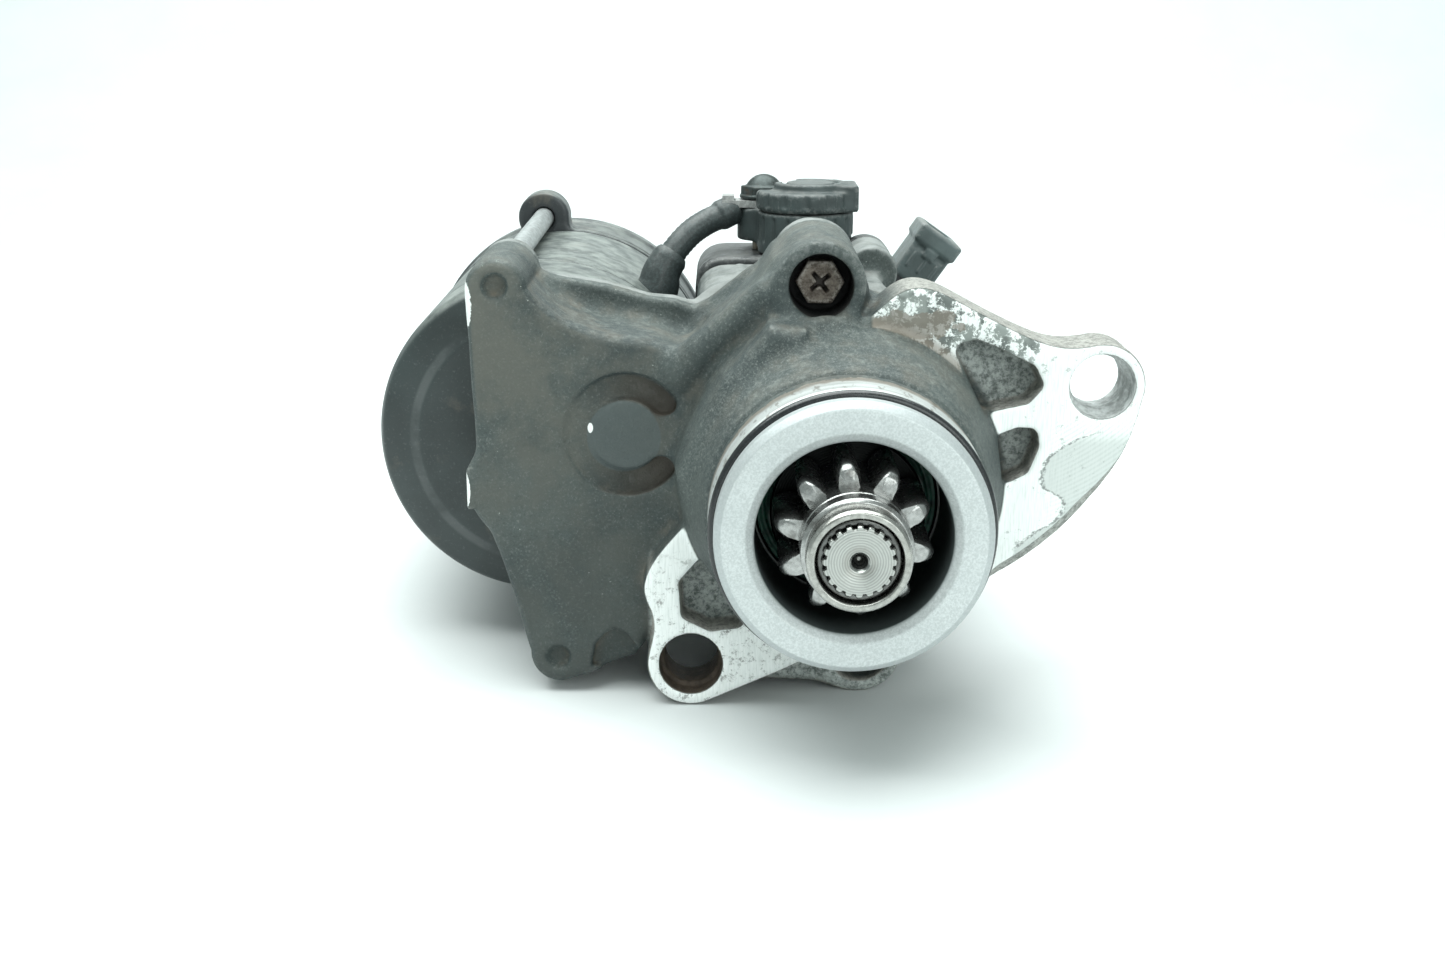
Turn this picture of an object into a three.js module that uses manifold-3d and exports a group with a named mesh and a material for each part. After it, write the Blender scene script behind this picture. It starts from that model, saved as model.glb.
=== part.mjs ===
// A car starter motor with an offset reduction gear, as an assembly of separate pieces.
// Millimetres. Seen from the pinion end, X runs to the right, Y to the back and Z up.
// Every piece is drawn in a design frame whose origin is the pinion axis in the front face
// of the mounting flange. The whole group is then moved, so that the part stands on Z = 0
// with the bottom centre of its box at the origin.
import * as THREE from 'three';
import { mergeVertices } from 'three/addons/utils/BufferGeometryUtils.js';
import Module from 'manifold-3d';

const wasm = await Module();
wasm.setup();

// ---------------------------------------------------------------- driving dimensions

const GAP = 0.3; // left between any two pieces that touch
const DEGREE = Math.PI / 180;

// Axes that run along Y, as [x, z]
const PINION_AXIS = [0, 0];
const MOTOR_AXIS = [-71, 0];
const REST_Z = -52.4; // the bench that the part lies on

// Stations along Y, front to back
const RING_FACE_Y = -43;
const SHAFT_TIP_Y = -57.5;
const FLANGE_THICKNESS = 15;
const CASE_FRONT_Y = 8;
const CASE_WALL = 4;
const CASE_BACK_Y = 38.3;
const SWITCH_FRONT_Y = CASE_BACK_Y + GAP;
const PLATE_BACK_Y = 43;
const SWITCH_BACK_Y = 78;
const COVER_FRONT_Y = SWITCH_BACK_Y + GAP;
const COVER_BACK_Y = 110;
const YOKE_FRONT_Y = PLATE_BACK_Y + GAP;
const YOKE_BACK_Y = 128;
const REAR_FRONT_Y = YOKE_BACK_Y + GAP;
const REAR_BACK_Y = 158;

// Mounting flange
const UPPER_EAR = [57, 22.2];
const LOWER_EAR = [-33.7, -42.4];
const UPPER_EAR_RADIUS = 9.6;
const LOWER_EAR_RADIUS = LOWER_EAR[1] - REST_Z;
const BOLT_HOLE_RADIUS = 6.2;
const BOLT_COUNTERBORE_RADIUS = 7.2;

// Nose
const NOSE_BORE_RADIUS = 20.1;
const PILOT_RADIUS = 29.6;
const RING_RADIUS = 28.4;
const NOSE_ROOT_RADIUS = 36;
const BEARING_FRONT_Y = -14.7;
const BEARING_BACK_Y = -5.7;
const BEARING_RADIUS = 21;

// Housing screws
const TOP_LUG = [-5, 44.3];
const TOP_LUG_RADIUS = 9.9;
const BOTTOM_LUG = [5.5, -42.6];
const BOTTOM_LUG_RADIUS = BOTTOM_LUG[1] - REST_Z;
const LUG_COUNTERBORE_RADIUS = 7.05;
const SCREW_RADIUS = 3;
const SCREW_HEAD_FLATS = 9.4;

// Through bolts, round the motor axis
const BOLT_CIRCLE_RADIUS = 44;
const BOLT_RADIUS = 2.8;
const TOP_BOLT = aroundMotor(98);
const BOTTOM_BOLT = aroundMotor(-82);

// Reduction gears
const GEAR_MODULE = 1.5;
const PRESSURE_ANGLE = 25 * DEGREE;
const GEAR_ADDENDUM = 0.9 * GEAR_MODULE;
const GEAR_DEDENDUM = 1.2 * GEAR_MODULE;
const TOOTH_THINNING = 0.12;
const ARMATURE_TEETH = 10;
const IDLER_TEETH = 22;
const CLUTCH_TEETH = 44;
const GEAR_FRONT_Y = 14;
const GEAR_BACK_Y = 26;
const IDLER_PIN_RADIUS = 4;

// Drive pinion
const PINION_TEETH = 10;
const PINION_MODULE = 2.75;
const PINION_TIP_RADIUS = 16.4;
const PINION_ROOT_RADIUS = 10.9;
const PINION_BACK_Y = -22;
const PINION_TOP_TOOTH = 96.5 * DEGREE;

// Motor
const YOKE_RADIUS = 38.5;
const YOKE_BORE_RADIUS = 35;
const REAR_RADIUS = 41;
const ARMATURE_RADIUS = 24;
const ARMATURE_SHAFT_RADIUS = 8.5;
const POLE_COUNT = 4;
const BRUSH_COUNT = 4;

// Magnetic switch
const SWITCH_RADIUS = 31;
const SWITCH_BORE_RADIUS = 28;
const PLUNGER_RADIUS = 12.2;
const ROLLER_COUNT = 5;
const BATTERY_STUD = [-3, 87]; // as [x, y]
const MOTOR_STUD = [-15.5, 96];
const COVER_ROOF_Z = 39.5;
const COVER_SCREWS = [[10.3, 38.4], [-25.6, -25.6], [25.6, -25.6]];

// Motor lead
const LEAD_RADIUS = 3.3;
const LEAD_Y = 84;
const LEAD_ANGLE = 47;

// ---------------------------------------------------------------- solids

/** A closed three.js geometry as a solid, with its shared corners merged and faces outwards. */
function solidFrom(geometry) {
  geometry.deleteAttribute('normal');
  geometry.deleteAttribute('uv');
  const merged = mergeVertices(geometry);
  const corners = merged.attributes.position;
  const [a, b, c] = [new THREE.Vector3(), new THREE.Vector3(), new THREE.Vector3()];
  const triangles = [];
  let volume = 0;
  for (let i = 0; i < merged.index.count; i += 3) {
    const [p, q, r] = [0, 1, 2].map((k) => merged.index.getX(i + k));
    if (p === q || q === r || r === p) continue;
    triangles.push(p, q, r);
    a.fromBufferAttribute(corners, p);
    b.fromBufferAttribute(corners, q);
    c.fromBufferAttribute(corners, r);
    volume += a.dot(b.cross(c));
  }
  const mesh = new wasm.Mesh({
    numProp: 3,
    vertProperties: new Float32Array(corners.array),
    triVerts: new Uint32Array(volume < 0 ? triangles.reverse() : triangles),
  });
  return new wasm.Manifold(mesh);
}

/** A shape drawn in X and Z, made solid between two stations along Y. */
function slab(shape, frontY, backY, curveSegments = 4) {
  const options = { depth: backY - frontY, bevelEnabled: false, curveSegments };
  const geometry = new THREE.ExtrudeGeometry(shape, options);
  geometry.rotateX(Math.PI / 2);
  geometry.translate(0, backY, 0);
  return solidFrom(geometry);
}

/** A polygon drawn in X and Y, made solid between two heights. */
function plate(shape, lowZ, highZ) {
  const geometry = new THREE.ExtrudeGeometry(shape, { depth: highZ - lowZ, bevelEnabled: false });
  geometry.translate(0, 0, lowZ);
  return solidFrom(geometry);
}

/** A profile of [radius, y] turned round the axis at [x, z]. */
function turned([x, z], profile, segments = 20) {
  const points = profile.map(([radius, y]) => new THREE.Vector2(radius, y));
  const geometry = new THREE.LatheGeometry(points, segments);
  geometry.translate(x, 0, z);
  return solidFrom(geometry);
}

/** A cylinder along Y. */
function rod([x, z], radius, frontY, backY, segments = 16) {
  const geometry = new THREE.CylinderGeometry(radius, radius, backY - frontY, segments);
  geometry.translate(x, (frontY + backY) / 2, z);
  return solidFrom(geometry);
}

/** A plain ring along Y. */
function ring(axis, outer, inner, frontY, backY, segments = 20) {
  const corners = [[inner, frontY], [outer, frontY], [outer, backY], [inner, backY]];
  return turned(axis, [...corners, corners[0]], segments);
}

/** A cylinder along Z at [x, y]. */
function post([x, y], radius, lowZ, highZ, segments = 16) {
  const geometry = new THREE.CylinderGeometry(radius, radius, highZ - lowZ, segments);
  geometry.rotateX(Math.PI / 2);
  geometry.translate(x, y, (lowZ + highZ) / 2);
  return solidFrom(geometry);
}

/** A box between two corners. */
function block([x0, y0, z0], [x1, y1, z1]) {
  const geometry = new THREE.BoxGeometry(x1 - x0, y1 - y0, z1 - z0);
  geometry.translate((x0 + x1) / 2, (y0 + y1) / 2, (z0 + z1) / 2);
  return solidFrom(geometry);
}

/** A polygon in the plane that slab or plate draws in. */
function polygon(points) {
  return new THREE.Shape(points.map(([u, v]) => new THREE.Vector2(u, v)));
}

/** A regular hexagon, given across its flats. */
function hexagon([u, v], flats) {
  const radius = flats / Math.sqrt(3);
  const corners = [0, 1, 2, 3, 4, 5].map((k) => k * 60 * DEGREE);
  return polygon(corners.map((t) => [u + radius * Math.cos(t), v + radius * Math.sin(t)]));
}

/** A point at a radius and an angle, in degrees, round [x, z]. */
function around([x, z], radius, degrees) {
  return [x + radius * Math.cos(degrees * DEGREE), z + radius * Math.sin(degrees * DEGREE)];
}

function aroundMotor(degrees) {
  return around(MOTOR_AXIS, BOLT_CIRCLE_RADIUS, degrees);
}

function joined(solids) {
  return solids.reduce((whole, solid) => whole.add(solid));
}

// ---------------------------------------------------------------- the assembly

const model = new THREE.Group();

/** Puts a solid into the assembly as a named mesh of its own. */
function piece(name, solid, color, roughness, metalness) {
  const { vertProperties, triVerts } = solid.getMesh();
  const geometry = new THREE.BufferGeometry();
  geometry.setAttribute('position', new THREE.BufferAttribute(vertProperties, 3));
  geometry.setIndex(new THREE.BufferAttribute(triVerts, 1));
  const material = new THREE.MeshStandardMaterial({ color, roughness, metalness });
  const mesh = new THREE.Mesh(geometry, material);
  mesh.name = name;
  model.add(mesh);
}

const PAINTED = [0x3a3f40, 0.75, 0.2];
const STEEL = [0xb9bab6, 0.3, 1];
const ZINC = [0x9a9d9c, 0.45, 1];
const IRON = [0x55565a, 0.6, 0.9];
const COPPER = [0xb0643a, 0.4, 1];
const PLASTIC = [0x1d1f20, 0.55, 0];
const RUBBER = [0x101112, 0.4, 0];
const CARBON = [0x2b2b2d, 0.8, 0.1];

// ---------------------------------------------------------------- gears

/** The involute function. */
function involute(angle) {
  return Math.tan(angle) - angle;
}

/** An external spur gear's outline round [x, z], with one tooth centred on the phase angle. */
function gearShape([x, z], teeth, phase, gear) {
  const pitchRadius = (gear.module * teeth) / 2;
  const baseRadius = pitchRadius * Math.cos(PRESSURE_ANGLE);
  const halfPitchAngle = Math.PI / (2 * teeth) - TOOTH_THINNING / (2 * pitchRadius);
  const startRadius = Math.max(baseRadius, gear.root);
  const halfAngle = (radius) => {
    const rollAngle = Math.acos(Math.min(1, baseRadius / radius));
    return halfPitchAngle + involute(PRESSURE_ANGLE) - involute(rollAngle);
  };
  const flank = [[gear.root, halfAngle(startRadius)]];
  for (let step = 0; step <= gear.steps; step++) {
    const radius = startRadius + ((gear.tip - startRadius) * step) / gear.steps;
    if (radius > gear.root) flank.push([radius, halfAngle(radius)]);
  }
  const points = [];
  for (let tooth = 0; tooth < teeth; tooth++) {
    const middle = phase + (tooth * 2 * Math.PI) / teeth;
    const rising = flank.map(([radius, half]) => [radius, middle - half]);
    const falling = flank.map(([radius, half]) => [radius, middle + half]).reverse();
    for (const [radius, angle] of [...rising, ...falling]) {
      points.push([x + radius * Math.cos(angle), z + radius * Math.sin(angle)]);
    }
  }
  return polygon(points);
}

/** A reduction gear's proportions. */
function reductionGear(teeth) {
  const pitchRadius = (GEAR_MODULE * teeth) / 2;
  const tip = pitchRadius + GEAR_ADDENDUM;
  const root = pitchRadius - GEAR_DEDENDUM;
  return { module: GEAR_MODULE, tip, root, steps: 1 };
}

// The idler's centre follows from the two centre distances and the offset of the two shafts.
const OFFSET = PINION_AXIS[0] - MOTOR_AXIS[0];
const MOTOR_TO_IDLER = (GEAR_MODULE * (ARMATURE_TEETH + IDLER_TEETH)) / 2;
const IDLER_TO_CLUTCH = (GEAR_MODULE * (IDLER_TEETH + CLUTCH_TEETH)) / 2;
const IDLER_X = -(IDLER_TO_CLUTCH ** 2 - MOTOR_TO_IDLER ** 2 + OFFSET ** 2) / (2 * OFFSET);
const IDLER_AXIS = [IDLER_X, Math.sqrt(IDLER_TO_CLUTCH ** 2 - IDLER_X ** 2)];

// Phases that put the teeth in mesh at rest: a tooth of the idler faces the armature.
const TO_MOTOR = Math.atan2(MOTOR_AXIS[1] - IDLER_AXIS[1], MOTOR_AXIS[0] - IDLER_AXIS[0]);
const TO_CLUTCH = Math.atan2(-IDLER_AXIS[1], -IDLER_AXIS[0]);
const IDLER_PITCH = (2 * Math.PI) / IDLER_TEETH;
const TOOTH_PAST_CLUTCH = Math.ceil((TO_CLUTCH - TO_MOTOR) / IDLER_PITCH) * IDLER_PITCH;
const IDLER_LEAD = TO_MOTOR + TOOTH_PAST_CLUTCH - TO_CLUTCH;
const ARMATURE_PHASE = TO_MOTOR + Math.PI + Math.PI / ARMATURE_TEETH;
const CLUTCH_LAG = (IDLER_LEAD * IDLER_TEETH) / CLUTCH_TEETH;
const CLUTCH_PHASE = TO_CLUTCH + Math.PI - CLUTCH_LAG + Math.PI / CLUTCH_TEETH;

// ---------------------------------------------------------------- drive housing

/** The mounting flange seen from the front. */
function flangeShape() {
  const shape = new THREE.Shape();
  shape.moveTo(33.9, -22.4);
  shape.bezierCurveTo(50, -14, 63.5, 2, 66.2, 20);
  shape.absarc(...UPPER_EAR, UPPER_EAR_RADIUS, -14 * DEGREE, 96 * DEGREE);
  shape.bezierCurveTo(46.5, 29.8, 44, 31, 22.7, 42.4);
  shape.bezierCurveTo(14.5, 46.6, 11.5, 43.8, 4, 36.2);
  shape.lineTo(-24, 18);
  shape.lineTo(-34.6, -8.7);
  shape.bezierCurveTo(-40, -15, -47, -21.5, -43.4, -28.5);
  shape.bezierCurveTo(-40.6, -34, -43.6, -38, LOWER_EAR[0] - LOWER_EAR_RADIUS, LOWER_EAR[1]);
  shape.absarc(...LOWER_EAR, LOWER_EAR_RADIUS, Math.PI, 288 * DEGREE);
  shape.lineTo(-13.3, -44.3);
  shape.lineTo(10, -33);
  return shape;
}

/** The three lightening pockets in the flange. */
function flangePockets() {
  const upper = new THREE.Shape();
  upper.moveTo(24, 31.6);
  upper.quadraticCurveTo(27, 33.2, 31, 31);
  upper.lineTo(42.5, 25.5);
  upper.quadraticCurveTo(45.6, 21.5, 41.5, 18.6);
  upper.lineTo(31.2, 16.4);
  const right = new THREE.Shape();
  right.moveTo(34.5, 11.2);
  right.quadraticCurveTo(39.5, 13.8, 42.6, 12.7);
  right.quadraticCurveTo(44.2, 9.5, 40.2, 1.8);
  right.lineTo(35.5, -0.6);
  const lower = new THREE.Shape();
  lower.moveTo(-31, -16.4);
  lower.quadraticCurveTo(-38.6, -23, -35.3, -31);
  lower.quadraticCurveTo(-29, -36.6, -21, -33.4);
  return [upper, right, lower].map((shape) => slab(shape, -1, 8));
}

/** The gear case's front plate, from its top ear round the left side to the bottom ear. */
function platePoints() {
  const shape = new THREE.Shape();
  shape.moveTo(-30, 20);
  shape.lineTo(-34.2, 26.5);
  shape.bezierCurveTo(-40, 31.8, -46, 31, -51.4, 31.9);
  shape.bezierCurveTo(-58, 33, -64, 35.4, -69.9, 42);
  shape.absarc(-76.8, 42.4, 6.9, 0, Math.PI);
  shape.lineTo(-82.2, 4.6);
  shape.lineTo(-81.3, -7.9);
  shape.lineTo(-74.8, -28.2);
  shape.lineTo(-71.2, -42.6);
  shape.absarc(-64.6, -43.5, 6.6, 172 * DEGREE, 290 * DEGREE);
  shape.lineTo(-46.7, -44.4);
  shape.lineTo(-43.5, -38);
  shape.lineTo(-36, -30);
  shape.lineTo(-24, -28);
  return shape;
}

/** The gear case's outline between two stations, with the lugs of the housing screws. */
function caseOutline(frontY, backY, lowLugY = frontY) {
  const shoulder = [
    [-38, 22], [-33.6, 28.3], [-31.4, 31.6], [-18.3, 43.7], [-14.4, 47.5], [4.5, 42], [8, 20],
  ];
  const underside = [[-27, -49.5], [5, -51.4], [15, -40], [15, -26], [-27, -26]];
  return joined([
    slab(platePoints(), frontY, backY),
    rod([MOTOR_AXIS[0], -2.5], 13.6, frontY, backY),
    rod(PINION_AXIS, 38.5, frontY, backY, 28),
    slab(polygon(shoulder), frontY, backY),
    rod(TOP_LUG, TOP_LUG_RADIUS, frontY, backY),
    slab(polygon(underside), lowLugY, backY),
    rod(BOTTOM_LUG, BOTTOM_LUG_RADIUS, lowLugY, backY),
  ]);
}

/** The nose with its seat ring, o-ring groove and machined pilot band. */
function noseSolid() {
  const profile = [
    [0, RING_FACE_Y], [RING_RADIUS - 1.6, RING_FACE_Y], [RING_RADIUS, RING_FACE_Y + 1.6],
    [RING_RADIUS, -38.3], [27.2, -38.3], [27.2, -35.7], [PILOT_RADIUS, -35.7], [PILOT_RADIUS, -23],
    [30.6, -22], [34.6, -7], [NOSE_ROOT_RADIUS, 0], [NOSE_ROOT_RADIUS, 12], [0, 12],
  ];
  return turned(PINION_AXIS, profile, 28);
}

/** What is hollow inside the nose: the mouth, the bearing seat and the clutch tube's space. */
function noseHollow() {
  const profile = [
    [0, RING_FACE_Y - 1], [NOSE_BORE_RADIUS + 1.9, RING_FACE_Y - 1], [NOSE_BORE_RADIUS, RING_FACE_Y + 1],
    [NOSE_BORE_RADIUS, BEARING_FRONT_Y - GAP], [BEARING_RADIUS + GAP, BEARING_FRONT_Y - GAP],
    [BEARING_RADIUS + GAP, BEARING_BACK_Y + GAP], [27, BEARING_BACK_Y + GAP], [27, 13], [0, 13],
  ];
  return turned(PINION_AXIS, profile, 28);
}

/** The gears' space, open at the back of the case. */
function gearHollow() {
  const front = CASE_FRONT_Y + CASE_WALL;
  const back = CASE_BACK_Y + 1;
  const lower = [
    [-66, 30], [-79, 18], [-77.5, -8], [-69, -35.5], [-60, -38], [-44, -32], [-30, -16], [-30, 22],
    [-42, 26],
  ];
  return joined([
    rod(PINION_AXIS, 35.6, front, back, 28),
    slab(polygon(lower), front, back),
    rod(MOTOR_AXIS, 10.2, front, back),
  ]);
}

/** The shallow marks in the case's front plate. */
function plateMarks() {
  const crescent = new THREE.Shape();
  crescent.absarc(...IDLER_AXIS, 13.4, 35 * DEGREE, 322 * DEGREE);
  crescent.absarc(...IDLER_AXIS, 8, 322 * DEGREE, 35 * DEGREE, true);
  const arch = polygon([[-57, -44], [-56, -40.8], [-51.3, -36.9], [-46.5, -41], [-46, -46]]);
  return joined([
    slab(crescent, CASE_FRONT_Y - 1, CASE_FRONT_Y + 2, 7),
    slab(arch, CASE_FRONT_Y - 1, CASE_FRONT_Y + 2),
    rod([-76.9, 43.4], 2.6, CASE_FRONT_Y - 1, CASE_FRONT_Y + 1.6, 10),
    rod([-64.7, -43.7], 2.6, CASE_FRONT_Y - 1, CASE_FRONT_Y + 1.6, 10),
  ]);
}

function driveHousing() {
  const lowLugY = 9;
  const lugFairing = polygon([[-13, 30], [-14.6, 42], [4.6, 42], [4, 30]]);
  const outside = joined([
    noseSolid(),
    slab(flangeShape(), 0, FLANGE_THICKNESS),
    rod(UPPER_EAR, UPPER_EAR_RADIUS, 0, FLANGE_THICKNESS),
    rod(LOWER_EAR, LOWER_EAR_RADIUS, 0, FLANGE_THICKNESS),
    caseOutline(CASE_FRONT_Y, CASE_BACK_Y, lowLugY),
    rod(TOP_LUG, TOP_LUG_RADIUS, 0, CASE_FRONT_Y + 1),
    slab(lugFairing, 0, CASE_FRONT_Y + 1),
  ]);
  const holes = [UPPER_EAR, LOWER_EAR].flatMap((ear) => [
    rod(ear, BOLT_COUNTERBORE_RADIUS, -1, 5),
    rod(ear, BOLT_HOLE_RADIUS, 4, FLANGE_THICKNESS + 1),
  ]);
  const screwHoles = [
    rod(TOP_LUG, LUG_COUNTERBORE_RADIUS, -1, 12),
    rod(TOP_LUG, SCREW_RADIUS + GAP, 11, CASE_BACK_Y + 1, 12),
    rod(BOTTOM_LUG, LUG_COUNTERBORE_RADIUS, lowLugY - 1, 20),
    rod(BOTTOM_LUG, SCREW_RADIUS + GAP, 19, CASE_BACK_Y + 1, 12),
  ];
  const boltHoles = [TOP_BOLT, BOTTOM_BOLT].map((bolt) => (
    rod(bolt, BOLT_RADIUS + GAP, 14, CASE_BACK_Y + 1, 12)
  ));
  const pinHole = rod(IDLER_AXIS, IDLER_PIN_RADIUS + GAP, 10.5, 13, 14);
  const solid = outside.subtract(joined([
    noseHollow(), gearHollow(), plateMarks(), pinHole,
    ...flangePockets(), ...holes, ...screwHoles, ...boltHoles,
  ]));
  // The pin's boss stands inside the case, up to the gear.
  const pinBoss = ring(IDLER_AXIS, 7, IDLER_PIN_RADIUS + GAP, CASE_FRONT_Y + 3, GEAR_FRONT_Y - GAP, 14);
  return solid.add(pinBoss);
}

piece('drive_housing', driveHousing(), ...PAINTED);

/** The o-ring's round section, drawn with six sides. */
function oringSection(middleRadius, middleY, sectionRadius) {
  const sides = 6;
  return Array.from({ length: sides + 1 }, (_, k) => {
    const angle = (k * 2 * Math.PI) / sides;
    return [middleRadius + sectionRadius * Math.cos(angle), middleY + sectionRadius * Math.sin(angle)];
  });
}

piece('nose_oring', turned(PINION_AXIS, oringSection(28.55, -37, 1.05), 28), ...RUBBER);

// ---------------------------------------------------------------- housing screws and through bolts

/** A hexagon screw with its head at the front. */
function hexScrew(axis, flats, headFrontY, headHeight, radius, tipY) {
  const head = slab(hexagon(axis, flats), headFrontY, headFrontY + headHeight);
  return head.add(rod(axis, radius, headFrontY + headHeight - 1, tipY));
}

const SCREW_HEAD_HEIGHT = 5;
for (const [name, lug, headFrontY] of [['top', TOP_LUG, 6.7], ['bottom', BOTTOM_LUG, 14.7]]) {
  const screw = hexScrew(lug, SCREW_HEAD_FLATS, headFrontY, SCREW_HEAD_HEIGHT, SCREW_RADIUS, 56);
  piece(`housing_screw_${name}`, screw, ...STEEL);
}

const REAR_EAR_BACK_Y = 138;
const BOLT_HEAD_FLATS = 10;
const BOLT_HEAD_HEIGHT = 5;
for (const [name, bolt] of [['top', TOP_BOLT], ['bottom', BOTTOM_BOLT]]) {
  const headFrontY = REAR_EAR_BACK_Y + GAP;
  const head = slab(hexagon(bolt, BOLT_HEAD_FLATS), headFrontY, headFrontY + BOLT_HEAD_HEIGHT);
  const shank = rod(bolt, BOLT_RADIUS, 15, REAR_EAR_BACK_Y + 1, 12);
  piece(`through_bolt_${name}`, head.add(shank), ...ZINC);
}

// ---------------------------------------------------------------- front bearing

const BEARING_BORE_RADIUS = 12.5;
const outerRace = [
  [19.6, BEARING_FRONT_Y], [BEARING_RADIUS, BEARING_FRONT_Y], [BEARING_RADIUS, BEARING_BACK_Y],
  [17.6, BEARING_BACK_Y], [17.6, BEARING_FRONT_Y + 1.7], [19.6, BEARING_FRONT_Y + 1.7],
  [19.6, BEARING_FRONT_Y],
];
const innerRace = [
  [BEARING_BORE_RADIUS, BEARING_FRONT_Y], [13.5, BEARING_FRONT_Y], [13.5, BEARING_FRONT_Y + 1.7],
  [15, BEARING_FRONT_Y + 1.7], [15, BEARING_BACK_Y], [BEARING_BORE_RADIUS, BEARING_BACK_Y],
  [BEARING_BORE_RADIUS, BEARING_FRONT_Y],
];
piece('front_bearing_outer', turned(PINION_AXIS, outerRace, 24), ...STEEL);
piece('front_bearing_inner', turned(PINION_AXIS, innerRace, 24), ...STEEL);
const seal = ring(PINION_AXIS, 19.3, 13.8, BEARING_FRONT_Y + 0.2, BEARING_FRONT_Y + 1.4);
piece('front_bearing_seal', seal, 0x12352a, 0.6, 0);

// ---------------------------------------------------------------- pinion, its shaft and stop

const SHAFT_TIP_RADIUS = 7.4;
const pinionGear = { module: PINION_MODULE, tip: PINION_TIP_RADIUS, root: PINION_ROOT_RADIUS, steps: 3 };
const pinionOutline = gearShape(PINION_AXIS, PINION_TEETH, PINION_TOP_TOOTH, pinionGear);
const pinionTeeth = slab(pinionOutline, RING_FACE_Y, PINION_BACK_Y);
const pinionHub = turned(PINION_AXIS, [
  [0, -52], [10.6, -52], [11.25, -51.4], [11.25, -47.6], [10.9, -47.2], [11.25, -46.8],
  [11.25, -42], [0, -42],
], 20);
const pinionBore = rod(PINION_AXIS, SHAFT_TIP_RADIUS + GAP, -53, PINION_BACK_Y + 1);
piece('pinion', pinionTeeth.add(pinionHub).subtract(pinionBore), ...STEEL);

const stopCollar = [
  [7.9, -52.3], [7.9, -54], [8.65, -54.5], [8.65, -57.4], [9.9, -57.4], [10.4, -56.6], [10.4, -52.3],
  [7.9, -52.3],
];
piece('stop_collar', turned(PINION_AXIS, stopCollar, 24), ...ZINC);
piece('snap_ring', ring(PINION_AXIS, 8.35, SHAFT_TIP_RADIUS - 0.6, -56, -54.8, 20), ...IRON);

/** The pinion shaft: splined nose, dust disc, spring neck and the head that carries the helical splines. */
function pinionShaft() {
  const body = turned(PINION_AXIS, [
    [0, SHAFT_TIP_Y], [6.8, SHAFT_TIP_Y], [SHAFT_TIP_RADIUS, SHAFT_TIP_Y + 0.6],
    [SHAFT_TIP_RADIUS, -56.3], [6.5, -56.3], [6.5, -54.5], [SHAFT_TIP_RADIUS, -54.5],
    [SHAFT_TIP_RADIUS, -21.7], [16.5, -21.7], [16.5, -19.7], [6.4, -19.2], [6.4, 12],
    [9, 12], [9, 31], [0, 31],
  ], 20);
  const centreDrill = turned(PINION_AXIS, [
    [0, SHAFT_TIP_Y - 1], [2.1, SHAFT_TIP_Y - 1], [2.1, SHAFT_TIP_Y], [0, SHAFT_TIP_Y + 3],
  ], 12);
  const ballSeat = rod(PINION_AXIS, 3.3, 28, 32, 12);
  return body.subtract(centreDrill).subtract(ballSeat);
}

piece('pinion_shaft', pinionShaft(), ...STEEL);
const ball = new THREE.SphereGeometry(3, 12, 8).translate(0, 31.4, 0);
piece('steel_ball', solidFrom(ball), ...STEEL);

// ---------------------------------------------------------------- overrunning clutch

const TUBE_RADIUS = BEARING_BORE_RADIUS - GAP;
const TUBE_BORE_RADIUS = 9.4;
const RACE_RADIUS = 14;
const ROLLER_RADIUS = 3.3;
const clutchInner = [
  [6.8, -16.5], [TUBE_RADIUS, -16.5], [TUBE_RADIUS, 12.5], [RACE_RADIUS, 12.5], [RACE_RADIUS, 29],
  [TUBE_BORE_RADIUS, 29], [TUBE_BORE_RADIUS, -14.5], [6.8, -14.5], [6.8, -16.5],
];
piece('clutch_inner', turned(PINION_AXIS, clutchInner, 24), ...STEEL);

const clutchOutline = gearShape(PINION_AXIS, CLUTCH_TEETH, CLUTCH_PHASE, reductionGear(CLUTCH_TEETH));
const clutchTeeth = slab(clutchOutline, GEAR_FRONT_Y, GEAR_BACK_Y);
const clutchDrum = rod(PINION_AXIS, 27, GEAR_FRONT_Y - 0.7, GEAR_BACK_Y + 3);
const clutchBore = rod(PINION_AXIS, 21.2, 10, 32);
piece('clutch_gear', clutchTeeth.add(clutchDrum).subtract(clutchBore), ...STEEL);
for (let k = 0; k < ROLLER_COUNT; k++) {
  const centre = around(PINION_AXIS, RACE_RADIUS + GAP + ROLLER_RADIUS, (k * 360) / ROLLER_COUNT);
  piece(`clutch_roller_${k + 1}`, rod(centre, ROLLER_RADIUS, 15, 27, 10), ...STEEL);
}

/** The spring that draws the pinion shaft back, wound round its neck. */
class Helix extends THREE.Curve {
  constructor(radius, frontY, length, turns) {
    super();
    Object.assign(this, { radius, frontY, length, turns });
  }

  getPoint(t, target = new THREE.Vector3()) {
    const angle = t * this.turns * 2 * Math.PI;
    const [x, z] = [this.radius * Math.cos(angle), this.radius * Math.sin(angle)];
    return target.set(x, this.frontY + t * this.length, z);
  }
}
const wire = polygon([[0.6, 0], [0, 0.6], [-0.6, 0], [0, -0.6]]);
const springPath = new Helix(7.9, -13.2, 24, 5);
const springCoil = new THREE.ExtrudeGeometry(wire, { steps: 36, extrudePath: springPath });
piece('return_spring', solidFrom(springCoil), ...IRON);

// ---------------------------------------------------------------- idler gear

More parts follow.
